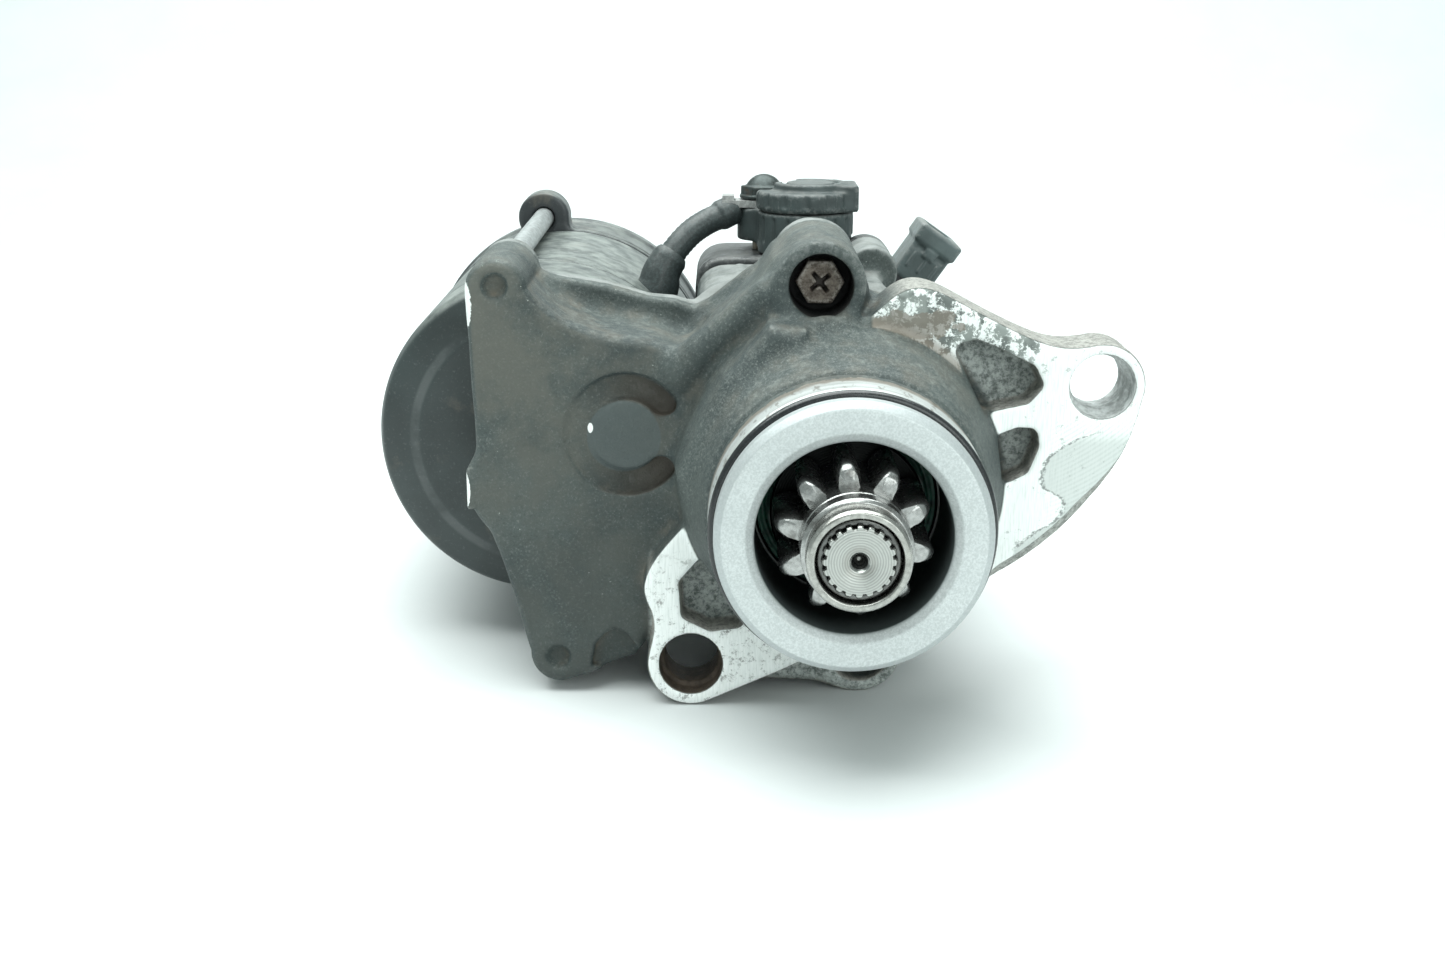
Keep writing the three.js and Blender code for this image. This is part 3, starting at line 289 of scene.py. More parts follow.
POCKETS = [
    [(24, 31.6), (27.2, 32.4), (31, 31), (42.5, 25.5), (44.3, 21.8), (41.5, 18.6), (31.2, 16.4)],
    [(34.5, 11.2), (38.8, 12.9), (42.6, 12.7), (43.2, 9.5), (40.2, 1.8), (35.5, -0.6)],
    [(-31, -16.4), (-35.9, -22), (-35.3, -31), (-28.6, -34.4), (-21, -33.4)],
]


# ---------------------------------------------------------------- solids as distances on a grid


def thick(across, along, edge):
    """The distance to a solid from those to its outline and to its two ends, with rounded edges."""
    across = across + edge
    along = along + edge
    outside = np.hypot(np.maximum(across, 0), np.maximum(along, 0))
    return np.minimum(np.maximum(across, along), 0) + outside - edge


class Grid:
    """Points at an even pitch in a box, in design millimetres."""

    def __init__(self, low, high, pitch):
        self.low = np.array(low, np.float32)
        self.pitch = pitch
        counts = np.ceil((np.array(high) - self.low) / pitch).astype(int) + 1
        x, y, z = (self.low[k] + pitch * np.arange(counts[k], dtype=np.float32) for k in range(3))
        self.x = x.reshape(-1, 1, 1)
        self.y = y.reshape(1, -1, 1)
        self.z = z.reshape(1, 1, -1)

    def disc(self, centre, radius):
        return np.hypot(self.x - centre[0], self.z - centre[1]) - radius

    def polygon(self, points):
        nearest = np.float32(1e6)
        inside = np.zeros((self.x.size, 1, self.z.size), bool)
        for (ax, az), (bx, bz) in zip(points, points[1:] + points[:1]):
            ex, ez = bx - ax, bz - az
            wx, wz = self.x - ax, self.z - az
            along = np.clip((wx * ex + wz * ez) / max(ex * ex + ez * ez, 1e-9), 0, 1)
            nearest = np.minimum(nearest, (wx - ex * along) ** 2 + (wz - ez * along) ** 2)
            if ez:
                spans = (az > self.z) != (bz > self.z)
                inside ^= spans & (self.x < ex * (self.z - az) / ez + ax)
        return np.where(inside, -1, 1).astype(np.float32) * np.sqrt(nearest).astype(np.float32)

    def slab(self, flat, front, back, edge=0.0):
        """A flat shape in X and Z made solid along Y, with its edges rounded."""
        along = np.abs(self.y - (front + back) / 2) - (back - front) / 2
        return thick(flat, along, edge)

    def rod(self, centre, radius, front, back, edge=0.0):
        return self.slab(self.disc(centre, radius), front, back, edge)

    def post(self, centre, radius, bottom, top, edge=0.0):
        """A rod along Z at an x and y."""
        across = np.hypot(self.x - centre[0], self.y - centre[1]) - radius
        along = np.abs(self.z - (bottom + top) / 2) - (top - bottom) / 2
        return thick(across, along, edge)

    def turned(self, centre, profile):
        """A profile of radius and y turned round an axis along Y; radius 0 is the axis."""
        step = 0.25
        radius = np.hypot(self.x - centre[0], self.z - centre[1]).reshape(-1)
        table_grid = Grid((0, 0, 0), (float(radius.max()) + 1, 1, 1), step)
        table_grid.z = self.y.reshape(1, 1, -1)
        points = [(r if r > 0 else -60.0, y) for r, y in profile]
        table = table_grid.polygon(points)[:, 0, :]
        place = radius / step
        lower = place.astype(int)
        share = (place - lower)[:, None]
        found = table[lower] * (1 - share) + table[lower + 1] * share
        return found.reshape(self.x.size, self.z.size, -1).transpose(0, 2, 1).astype(np.float32)

    def ball(self, centre, radius):
        x, y, z = centre
        return np.sqrt((self.x - x) ** 2 + (self.y - y) ** 2 + (self.z - z) ** 2) - radius

    def bar(self, a, b, radius):
        """A rod with round ends between two points."""
        a, b = np.array(a, float), np.array(b, float)
        e = b - a
        w = (self.x - a[0], self.y - a[1], self.z - a[2])
        along = np.clip(sum(p * q for p, q in zip(w, e)) / e.dot(e), 0, 1)
        squares = sum((p - q * along) ** 2 for p, q in zip(w, e))
        return np.sqrt(squares).astype(np.float32) - radius

    def box(self, low, high, edge=0.0, tilt=None):
        """A box between two corners, or one turned round Y about its own [x, z] by tilt degrees."""
        x, z = self.x, self.z
        if tilt:
            (cx, cz), degrees = tilt
            c, s = math.cos(math.radians(degrees)), math.sin(math.radians(degrees))
            dx, dz = x - cx, z - cz
            x, z = c * dx - s * dz, s * dx + c * dz
        outside = 0
        deepest = None
        for value, a, b in zip((x, self.y, z), low, high):
            q = np.abs(value - (a + b) / 2) - (b - a) / 2 + edge
            outside = outside + np.maximum(q, 0) ** 2
            deepest = q if deepest is None else np.maximum(deepest, q)
        return np.sqrt(outside) + np.minimum(deepest, 0) - edge


def join(a, b, fillet=0.0):
    """Two solids as one, with a soft fillet where they meet."""
    if not fillet:
        return np.minimum(a, b)
    blend = np.maximum(fillet - np.abs(a - b), 0) / fillet
    return np.minimum(a, b) - blend * blend * (fillet / 4)


def cut(a, b, fillet=0.0):
    return -join(-a, b, fillet)


def overlap(a, b, fillet=0.0):
    return -join(-a, -b, fillet)


def softened(values, reach):
    """Values averaged over a cube of 2 * reach + 1 points each way."""
    for axis in range(3):
        padded = np.pad(values, [(reach + 1, reach) if k == axis else (0, 0) for k in range(3)], "edge")
        total = np.cumsum(padded, axis=axis, dtype=np.float32)
        size = values.shape[axis]
        high = np.take(total, range(2 * reach + 1, 2 * reach + 1 + size), axis=axis)
        low = np.take(total, range(0, size), axis=axis)
        values = (high - low) / (2 * reach + 1)
    return values


CORNERS = [(i, j, k) for i in (0, 1) for j in (0, 1) for k in (0, 1)]


def skin(grid, field):
    """The solid's surface: a point in each cell it crosses, quads, and how convex each point is."""
    inside = field < 0
    n = np.array(field.shape) - 1
    total = sum(
        inside[i:n[0] + i, j:n[1] + j, k:n[2] + k].astype(np.int8) for i, j, k in CORNERS)
    crossed = (total > 0) & (total < 8)
    cells = np.argwhere(crossed)
    values = np.stack([field[tuple((cells + c).T)] for c in CORNERS], 1).astype(float)
    points = np.zeros((len(cells), 3))
    hits = np.zeros(len(cells))
    for a, low in enumerate(CORNERS):
        for b, high in enumerate(CORNERS):
            step = np.subtract(high, low)
            if step.sum() != 1 or np.abs(step).sum() != 1:
                continue
            meets = (values[:, a] < 0) != (values[:, b] < 0)
            gap = np.where(meets, values[:, a] - values[:, b], 1)
            share = np.where(meets, values[:, a] / gap, 0)
            points += meets[:, None] * (np.array(low) + share[:, None] * step)
            hits += meets
    points = grid.low + grid.pitch * (cells + points / hits[:, None])
    index = np.full(n, -1, np.int32)
    index[crossed] = np.arange(len(cells))
    quads = []
    for axis in range(3):
        order = (axis, (axis + 1) % 3, (axis + 2) % 3)
        solid = inside.transpose(order)
        cell = index.transpose(order)
        changes = np.argwhere(solid[:-1, 1:-1, 1:-1] != solid[1:, 1:-1, 1:-1]) + (0, 1, 1)
        i, j, k = changes.T
        corners = (cell[i, j - 1, k - 1], cell[i, j, k - 1], cell[i, j, k], cell[i, j - 1, k])
        faces = np.stack(corners, 1)
        outward = solid[i, j, k]
        faces[~outward] = faces[~outward][:, ::-1]
        quads.append(faces)
    reach = max(1, round(CONVEX_REACH / grid.pitch))
    near = np.clip(field, -4, 4)
    bulge = softened(near, reach) - near
    convex = sum(bulge[tuple((cells + c).T)] for c in CORNERS) / len(CORNERS)
    return points, np.concatenate(quads), convex


def new_piece(name, points, faces, convex=None, smooth_all=False):
    """A mesh object from design millimetres; faces are quads as one array, or lists of any size."""
    mesh = bpy.data.meshes.new(name)
    places = (np.asarray(points, float) * MM + np.array(ORIGIN)).tolist()
    mesh.from_pydata(places, [], faces.tolist() if isinstance(faces, np.ndarray) else faces)
    mesh.polygons.foreach_set("use_smooth", np.ones(len(mesh.polygons), bool))
    if convex is not None:
        values = convex.astype(np.float32)
        mesh.attributes.new("convex", "FLOAT", "POINT").data.foreach_set("value", values)
    if not smooth_all:
        mesh.set_sharp_from_angle(angle=SHARP_ANGLE)
    piece = bpy.data.objects.new(name, mesh)
    bpy.context.scene.collection.objects.link(piece)
    return piece


def finish_piece(piece, body, slot, material, *nodes):
    """Gives a piece its body and material, and puts it in the place of CAD nodes; slot is not used."""
    piece.data.materials.append(material)
    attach(piece, body)
    if nodes:
        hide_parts(*nodes)
    return piece


def cast_piece(name, grid, field):
    """A piece from a solid on a grid, kept within the CAD box."""
    for axis, flat in enumerate((grid.x, grid.y, grid.z)):
        low, high = ((corner[axis] - ORIGIN[axis]) / MM for corner in CAD_BOX)
        field = np.maximum(field, np.maximum(low - flat, flat - high))
    points, quads, convex = skin(grid, field)
    return new_piece(name, points, quads, convex, smooth_all=True)


# ---------------------------------------------------------------- materials


class Look:
    """A procedural material in the making. Its textures are laid out in design millimetres."""

    def __init__(self, name, metallic=0.0, roughness=0.5, coat=0.0):
        self.material = bpy.data.materials.new(name)
        self.material.use_nodes = True
        self.tree = self.material.node_tree
        self.tree.nodes.clear()
        self.shader = self.node("ShaderNodeBsdfPrincipled")
        self.shader.inputs["Metallic"].default_value = metallic
        self.shader.inputs["Roughness"].default_value = roughness
        self.shader.inputs["Coat Weight"].default_value = coat
        output = self.node("ShaderNodeOutputMaterial")
        self.tree.links.new(self.shader.outputs["BSDF"], output.inputs["Surface"])
        coordinates = self.node("ShaderNodeTexCoord")
        from_axis = self.vector("SUBTRACT", coordinates.outputs["Object"], tuple(ORIGIN))
        self.place = self.vector("MULTIPLY", from_axis, (1 / MM,) * 3)
        self.x, self.y, self.z = self.parts(self.place)
        self.nx, self.ny, self.nz = self.parts(coordinates.outputs["Normal"])

    def node(self, kind, **settings):
        made = self.tree.nodes.new(kind)
        for key, value in settings.items():
            setattr(made, key, value)
        return made

    def put(self, socket, value):
        if isinstance(value, bpy.types.NodeSocket):
            self.tree.links.new(value, socket)
        elif isinstance(value, tuple) and socket.type == "RGBA":
            socket.default_value = (*value, 1)
        else:
            socket.default_value = value

    def vector(self, operation, a, b=(0, 0, 0)):
        made = self.node("ShaderNodeVectorMath", operation=operation)
        self.put(made.inputs[0], a)
        self.put(made.inputs[1], b)
        return made.outputs["Value" if operation == "LENGTH" else "Vector"]

    def parts(self, vector):
        made = self.node("ShaderNodeSeparateXYZ")
        self.put(made.inputs[0], vector)
        return tuple(made.outputs)

    def math(self, operation, a, b=0.0, c=0.0, clamp=False):
        made = self.node("ShaderNodeMath", operation=operation, use_clamp=clamp)
        for socket, value in zip(made.inputs, (a, b, c)):
            self.put(socket, value)
        return made.outputs[0]

    def product(self, *factors):
        result = factors[0]
        for factor in factors[1:]:
            result = self.math("MULTIPLY", result, factor)
        return result

    def ramp(self, value, low, high):
        """0 up to low and 1 from high on, with a smooth step between; low may be the larger."""
        made = self.node("ShaderNodeMapRange", interpolation_type="SMOOTHSTEP")
        self.put(made.inputs["Value"], value)
        made.inputs["From Min"].default_value = min(low, high)
        made.inputs["From Max"].default_value = max(low, high)
        made.inputs["To Min"].default_value = 0.0 if low < high else 1.0
        made.inputs["To Max"].default_value = 1.0 if low < high else 0.0
        return made.outputs["Result"]

    def span(self, value, low, high, soft):
        """1 between low and high."""
        return self.product(self.ramp(value, low - soft, low), self.ramp(value, high + soft, high))

    def noise(self, scale, detail=3.0, rough=0.55, stretch=None, seed=0.0):
        made = self.node("ShaderNodeTexNoise", noise_dimensions="4D")
        place = self.vector("MULTIPLY", self.place, stretch) if stretch else self.place
        self.put(made.inputs["Vector"], place)
        made.inputs["W"].default_value = seed
        made.inputs["Scale"].default_value = scale
        made.inputs["Detail"].default_value = detail
        made.inputs["Roughness"].default_value = rough
        return made.outputs["Fac"]

    def mix(self, share, a, b):
        made = self.node("ShaderNodeMix", data_type="RGBA")
        self.put(made.inputs["Factor"], share)
        self.put(made.inputs["A"], a)
        self.put(made.inputs["B"], b)
        return made.outputs["Result"]

    def over(self, color, added, *shares):
        """A colour laid over another by the product of its shares."""
        return self.mix(self.product(*shares), color, added)

    def cloud(self, scale, detail, rough, seed, low, high):
        """Soft-edged blotches of noise, 0 outside and 1 inside."""
        return self.ramp(self.noise(scale, detail, rough, seed=seed), low, high)

    def varied(self, scale, detail, rough, seed, swing, base):
        """A value that noise moves by up to swing above its base."""
        return self.math("MULTIPLY_ADD", self.noise(scale, detail, rough, seed=seed), swing, base)

    def dusted(self, color, dust, upward, patches, amount):
        """A colour under dust that has settled in patches on what faces upwards."""
        return self.over(color, dust, self.ramp(self.nz, *upward), self.cloud(*patches), amount)

    def blend(self, share, a, b):
        """Two plain values mixed."""
        made = self.node("ShaderNodeMix", data_type="FLOAT")
        self.put(made.inputs["Factor"], share)
        self.put(made.inputs["A"], a)
        self.put(made.inputs["B"], b)
        return made.outputs["Result"]

    def radius(self, centre=PINION):
        dx = self.math("SUBTRACT", self.x, centre[0])
        dz = self.math("SUBTRACT", self.z, centre[1])
        return self.math("SQRT", self.math("ADD", self.product(dx, dx), self.product(dz, dz)))

    def angle(self, centre=PINION):
        dx = self.math("SUBTRACT", self.x, centre[0])
        dz = self.math("SUBTRACT", self.z, centre[1])
        return self.math("ARCTAN2", dz, dx)

    def spot(self, centre, radii, ragged=0.5, scale=0.8):
        """A ragged patch round a point."""
        offset = self.vector("SUBTRACT", self.place, centre)
        inside = self.vector("LENGTH", self.vector("MULTIPLY", offset, tuple(1 / r for r in radii)))
        torn = self.math("MULTIPLY_ADD", self.noise(scale, 4, 0.6, seed=sum(centre)), ragged * 2, inside)
        return self.ramp(torn, 1.05 + ragged, 0.95 + ragged)

    def convex(self):
        made = self.node("ShaderNodeAttribute", attribute_name="convex")
        return made.outputs["Fac"]

    def finish(self, color, roughness=None, metallic=None, height=None, bump=0.1):
        """Links the colour and, if given, the rest; height is in millimetres times bump."""
        self.put(self.shader.inputs["Base Color"], color)
        if roughness is not None:
            self.put(self.shader.inputs["Roughness"], roughness)
        if metallic is not None:
            self.put(self.shader.inputs["Metallic"], metallic)
        if height is not None:
            made = self.node("ShaderNodeBump")
            made.inputs["Distance"].default_value = bump * MM
            self.put(made.inputs["Height"], height)
            self.put(self.shader.inputs["Normal"], made.outputs["Normal"])
        return self.material


def scaled(color, factor):
    """A colour made darker or lighter."""
    return tuple(c * factor for c in color)


CHARCOAL = (0.030, 0.042, 0.042)
CHARCOAL_LIGHT = (0.060, 0.074, 0.070)
BROWN_DUST = (0.150, 0.128, 0.098)
GREY_DUST = (0.240, 0.260, 0.240)
RUST = (0.110, 0.055, 0.028)
BARE = (0.860, 0.880, 0.865)


def paint_layers(look, dust=1.0, worn=1.0):
    """Old sprayed paint on a rough casting: its colour and its height."""
    patches = look.noise(0.045, 4, 0.55, seed=2)
    color = look.mix(look.ramp(patches, 0.35, 0.65), CHARCOAL, CHARCOAL_LIGHT)
    speckle = look.noise(1.9, 5, 0.75, seed=5)
    color = look.over(color, GREY_DUST, look.ramp(speckle, 0.52, 0.66), 0.40)
    color = look.over(color, (0.012, 0.015, 0.016), look.ramp(speckle, 0.46, 0.34), 0.55)
    convex = look.convex()
    hollow = look.ramp(convex, 0.02, -0.45)
    upward = look.ramp(look.nz, 0.25, 0.95)
    soil = look.cloud(0.11, 5, 0.62, 9, 0.40, 0.66)
    brown = look.math("MULTIPLY_ADD", hollow, 0.75, look.product(upward, 0.35), clamp=True)
    color = look.over(color, BROWN_DUST, brown, soil, dust)
    fine = look.cloud(0.5, 6, 0.7, 12, 0.45, 0.75)
    color = look.over(color, GREY_DUST, upward, fine, 0.5 * dust)
    edge = look.product(look.ramp(convex, 0.30, 0.75), look.cloud(0.6, 5, 0.7, 14, 0.42, 0.60))
    color = look.over(color, (0.30, 0.31, 0.30), edge, 0.55 * worn)
    specks = look.product(look.cloud(1.1, 2, 0.5, 17, 0.735, 0.765),
                          look.cloud(0.07, 2, 0.5, 18, 0.46, 0.60))
    color = look.over(color, (0.52, 0.56, 0.52), specks, 0.95 * worn)
    height = look.math("MULTIPLY_ADD", speckle, 0.7, look.noise(0.55, 3, 0.6, seed=21))
    return color, height


def drive_cast():
    """The drive housing: painted casting, milled flange face, rough pockets and chipped edges."""
    look = Look("drive_cast")
    radius = look.radius()
    on_nose = look.product(look.ramp(look.y, 7, 0), look.ramp(radius, 39, 37))
    color, height = paint_layers(look)
    grit = look.cloud(2.6, 3, 0.8, 31, 0.5, 0.72)
    color = look.over(color, (0.30, 0.32, 0.30), on_nose, grit, 0.45)

    # The plate in front of the gears carries a brown-grey film, graded as painted shade: darker towards the
    # bottom, lighter towards the top.
    plate = look.product(look.ramp(look.ny, -0.7, -0.95), look.span(look.y, 4, 13, 2),
                         look.ramp(look.x, -30, -42))
    film = look.cloud(0.05, 6, 0.68, 33, 0.36, 0.60)
    film_with_painted_shade = look.mix(look.ramp(look.z, -40, 40), (0.052, 0.058, 0.052), (0.118, 0.115, 0.096))
    color = look.over(color, film_with_painted_shade, plate, film, 0.66)
    # The crescent groove is painted dark brown: dirt, and painted shade in the recess.
    groove = look.product(look.ramp(look.radius(IDLER), 14.6, 13.6),
                          look.ramp(look.radius(IDLER), 8.2, 8.6),
                          look.span(look.y, CASE_FRONT_Y + 0.5, 13, 0.6), look.ramp(look.x, -60, -38))
    color = look.over(color, (0.045, 0.034, 0.024), groove, 0.85)
    boss = look.product(look.ramp(look.radius(IDLER), 8.6, 8.1), look.ramp(look.y, 12, 10))
    color = look.over(color, (0.066, 0.082, 0.082), boss, 0.80)

    # The flange's sides and pockets have lost their paint to grey corrosion.
    wing = look.product(look.ramp(look.x, 8, 15), look.ramp(radius, 36.4, 38.4), look.ramp(look.y, 17, 14))
    foot = look.product(look.ramp(look.z, -17, -21), look.ramp(radius, 36.2, 37.5),
                        look.ramp(look.x, -44, -42.5), look.ramp(look.y, 12, 9))
    flange = look.math("MAXIMUM", wing, foot)
    crust = look.noise(0.9, 6, 0.75, seed=35)
    side = look.mix(look.ramp(crust, 0.36, 0.62), (0.150, 0.146, 0.134), (0.370, 0.360, 0.330))
    floor = look.ramp(look.ny, -0.55, -0.9)
    pocket = look.mix(look.ramp(crust, 0.36, 0.62), (0.110, 0.125, 0.118), (0.460, 0.490, 0.470))
    side = look.over(side, pocket, floor)
    color = look.over(color, side, flange, look.ramp(look.y, 0.25, 0.6))

    # Milled face, with fine arcs left by the cutter and oxide where old paint has peeled.
    off_lug = look.product(look.ramp(look.radius(TOP_LUG), 12.0, 12.6),
                           look.math("MAXIMUM", look.ramp(look.x, 5.5, 6.5), look.ramp(look.z, 30, 29)))
    face = look.product(look.ramp(look.y, 0.55, 0.35), look.ramp(look.ny, -0.55, -0.8),
                        look.ramp(radius, 35.2, 36.0), off_lug,
                        look.math("MAXIMUM", look.ramp(look.x, -1, 2), look.ramp(look.z, -5, -8)))
    cutter = look.math("SINE", look.product(look.radius((20.0, 62.0)), math.tau * 1.05))
    fine_cutter = look.noise(1.0, 2, 0.5, stretch=(2.6, 0.2, 0.25), seed=37)
    milled = look.product(look.ramp(look.x, 44, 52), look.span(look.z, -14, 12, 4), 0.22)
    lines = look.math("ADD", look.product(cutter, milled), fine_cutter)
    bare = look.mix(look.ramp(lines, 0.15, 0.65), (0.68, 0.71, 0.69), BARE)
    stepped = look.node("ShaderNodeFloatCurve")
    curve = stepped.mapping.curves[0]
    for point, (along, across) in zip(curve.points, ((0.0, 0.05), (1.0, 0.95))):
        point.location = (along, across)
    bulges = ((0.14, 0.26), (0.28, 0.54), (0.41, 0.58), (0.55, 0.34), (0.72, 0.35), (0.85, 0.50))
    for along, across in bulges:
        curve.points.new(along, across)
    stepped.mapping.update()
    down_wing = look.math("MULTIPLY_ADD", look.z, 1 / 27.0, 15.0 / 27.0, clamp=True)
    look.put(stepped.inputs["Value"], down_wing)
    ripple = look.varied(0.9, 4, 0.6, 39, 2.4, -1.2)
    step_x = look.math("MULTIPLY_ADD", stepped.outputs["Value"], 20.0, 38.0)
    from_step = look.math("SUBTRACT", look.math("ADD", look.x, ripple), step_x)
    near_step = look.product(look.ramp(look.math("ABSOLUTE", from_step), 0.75, 0.2),
                             look.span(look.z, -14, 11, 2), look.cloud(1.3, 3, 0.6, 40, 0.40, 0.55))
    greyer = look.product(look.ramp(from_step, -0.5, 0.5), look.ramp(look.z, 13, 9))
    bare = look.over(bare, (0.44, 0.475, 0.455), greyer, 0.60)
    bare = look.over(bare, (0.10, 0.105, 0.10), near_step, 0.75)
    arm = look.product(look.ramp(look.z, 24, 31), look.ramp(look.x, 50, 40))
    peel = look.ramp(look.math("MULTIPLY_ADD", arm, 0.13, look.noise(0.42, 8, 0.72, seed=41)), 0.585, 0.64)
    tint = look.mix(look.cloud(0.16, 3, 0.5, 42, 0.45, 0.55), (0.070, 0.086, 0.078), (0.200, 0.225, 0.208))
    bare = look.over(bare, tint, peel, look.blend(arm, 0.45, 0.92))
    stain = look.product(look.ramp(radius, 39.2, 37.0), look.ramp(look.z, 14, 24), 0.75)
    bare = look.over(bare, (0.150, 0.120, 0.090), stain)
    patch = look.spot((16.0, 0.0, 36.2), (9.5, 4.0, 3.0), 1.1, 0.35)
    bare = look.over(bare, (0.190, 0.165, 0.135), patch, 0.80)
    ear = look.product(look.ramp(look.radius(LOWER_EAR), 34, 14), look.cloud(0.5, 8, 0.78, 43, 0.53, 0.62))
    bare = look.over(bare, (0.065, 0.060, 0.052), ear, 0.75)
    color = look.over(color, bare, face)

    # Bolt holes: light bare metal in the upper ear, brightened further as a painted reflection of its shiny
    # chamfer, and brown in the lower one.
    linings = ((UPPER_EAR, (0.74, 0.76, 0.75)), (LOWER_EAR, (0.100, 0.075, 0.055)))
    for axis, inner in linings:
        hole = look.product(look.ramp(look.radius(axis), 7.7, 7.35), look.ramp(look.y, 0.2, 0.7))
        streak = look.mix(look.cloud(0.5, 4, 0.6, 45, 0.35, 0.65), inner, scaled(inner, 0.5))
        color = look.over(color, streak, hole)
    # The top lug's counterbore wall round the screw head is painted black as shade.
    lug_bore_painted_shade = look.product(look.ramp(look.radius(TOP_LUG), 7.4, 7.0), look.ramp(look.y, 0.3, 1.2))
    color = look.over(color, (0.006, 0.006, 0.006), lug_bore_painted_shade)

    # Knocks that go through to bright metal.
    chips = look.math("MAXIMUM", look.spot((-83.9, 10.0, 39.0), (1.9, 6.0, 5.6), 0.35),
                      look.spot((-84.9, 10.0, -3.4), (1.25, 5.0, 4.6), 0.25))
    chips = look.math("MAXIMUM", chips, look.spot((-56.2, 10.0, 11.0), (0.75, 3.0, 1.35), 0.15))
    color = look.over(color, BARE, chips)
    shiny = look.math("MAXIMUM", look.product(face, look.math("SUBTRACT", 1.0, peel)), chips)
    dull = look.varied(0.3, 4, 0.6, 46, 0.25, 0.48)
    roughness = look.blend(shiny, dull, 0.40)
    height = look.blend(face, height, look.product(lines, 0.12))
    return look.finish(color, roughness, look.product(shiny, 0.12), height, 0.34)


def pilot_metal():
    """The turned end of the nose: blasted seat ring, a bore dark with grease and painted shade, and a bright
    band with torn paint.
    """
    look = Look("pilot_metal")
    radius = look.radius()
    blast = look.noise(2.4, 4, 0.7, seed=51)
    ring = look.mix(look.ramp(blast, 0.40, 0.62), (0.470, 0.495, 0.495), (0.590, 0.615, 0.615))
    cloud = look.cloud(0.12, 3, 0.5, 52, 0.35, 0.7)
    ring = look.over(ring, (0.40, 0.43, 0.435), cloud, 0.18)
    # The seat ring's tilted edge faces are painted darker as shade.
    chamfer = look.product(look.ramp(look.ny, -0.96, -0.85), look.ramp(look.y, -39, -40),
                           look.ramp(radius, 24, 25))
    ring = look.over(ring, (0.33, 0.355, 0.36), chamfer, 0.45)
    turned = look.noise(1.0, 3, 0.6, stretch=(0.05, 3.2, 0.05), seed=53)
    band = look.mix(look.ramp(turned, 0.30, 0.60), (0.36, 0.37, 0.36), (0.64, 0.66, 0.65))
    scratch = look.ramp(look.noise(0.55, 5, 0.7, stretch=(1, 0.35, 1), seed=54), 0.56, 0.62)
    band = look.over(band, (0.16, 0.14, 0.12), scratch, 0.65)
    color = look.mix(look.ramp(look.y, -36.6, -36.0), ring, band)
    paint, paint_height = paint_layers(look)
    torn = look.math("MULTIPLY_ADD", look.noise(0.40, 8, 0.74, seed=55), 9.0,
                     look.math("SUBTRACT", look.y, 1.0))
    stained = look.product(look.ramp(torn, -27.6, -22.9), look.ramp(look.y, -30, -28), 0.8)
    color = look.over(color, (0.190, 0.150, 0.115), stained)
    painted = look.ramp(torn, -21.9, -21.3)
    color = look.over(color, paint, painted)
    # The bore is darkened by grease and by painted shade that deepens inwards.
    bore = look.product(look.ramp(radius, 21.9, 20.9), look.ramp(look.y, -42.2, -41.4))
    depth = look.ramp(look.y, -42, -30)
    color = look.over(color, look.mix(depth, (0.060, 0.072, 0.072), (0.010, 0.012, 0.012)), bore)
    metal = look.product(look.math("SUBTRACT", 1.0, painted), look.math("SUBTRACT", 1.0, bore),
                         look.blend(look.ramp(look.y, -36.6, -36.0), 0.50, 0.40))
    roughness = look.blend(look.ramp(look.y, -36.6, -36.0), 0.52, 0.36)
    roughness = look.blend(look.math("MAXIMUM", painted, bore), roughness, 0.55)
    height = look.blend(painted, look.math("MULTIPLY_ADD", turned, 0.2, look.product(blast, 0.5)),
                        paint_height)
    return look.finish(color, roughness, metal, height, 0.09)


def steel(name, base=(0.56, 0.56, 0.545), rough=0.28, stain=0.35, dark=(0.05, 0.045, 0.04)):
    """Bare steel with hairline marks and an oily brown stain."""
    look = Look(name, metallic=0.95)
    marks = look.noise(0.9, 4, 0.65, stretch=(1.0, 3.0, 1.0), seed=61)
    color = look.mix(look.ramp(marks, 0.35, 0.68), scaled(base, 0.72), base)
    soil = look.cloud(0.22, 6, 0.7, 62, 0.50, 0.68)
    color = look.over(color, dark, soil, stain)
    roughness = look.varied(0.6, 5, 0.7, 63, 0.3, rough - 0.12)
    return look.finish(color, roughness, None, marks, 0.03)


def shaft_steel():
    """The pinion shaft: a satin turned end face, polished neck and grease in the splines."""
    look = Look("shaft_steel", metallic=0.9)
    radius = look.radius()
    wobble = look.varied(0.5, 3, 0.5, 66, 0.25, radius)
    groove = look.math("SINE", look.product(wobble, math.tau * 1.9))
    face = look.ramp(look.ny, -0.8, -0.95)
    marks = look.noise(1.2, 4, 0.6, seed=67)
    color = look.mix(look.ramp(groove, -0.9, 0.9), (0.33, 0.335, 0.32), (0.45, 0.455, 0.435))
    color = look.over(color, (0.30, 0.30, 0.28), look.ramp(marks, 0.5, 0.7), 0.35)
    halo = look.product(look.ramp(radius, 4.0, 2.6), face)
    color = look.over(color, (0.22, 0.21, 0.19), halo, 0.4)
    grease = look.product(look.math("SUBTRACT", 1.0, face), look.ramp(look.y, -57.3, -56.8),
                          look.ramp(look.y, -50, -53))
    color = look.over(color, (0.02, 0.02, 0.02), grease, 0.8)
    # The disc behind the pinion is painted near black: dark oily steel, and painted shade deep in the bore.
    disc = look.product(look.ramp(radius, 9.5, 10.5), look.ramp(look.y, -24, -22))
    color = look.over(color, (0.012, 0.013, 0.013), disc)
    roughness = look.blend(face, 0.24, 0.36)
    return look.finish(color, roughness, None, look.math("MULTIPLY_ADD", groove, 0.4, marks), 0.04)


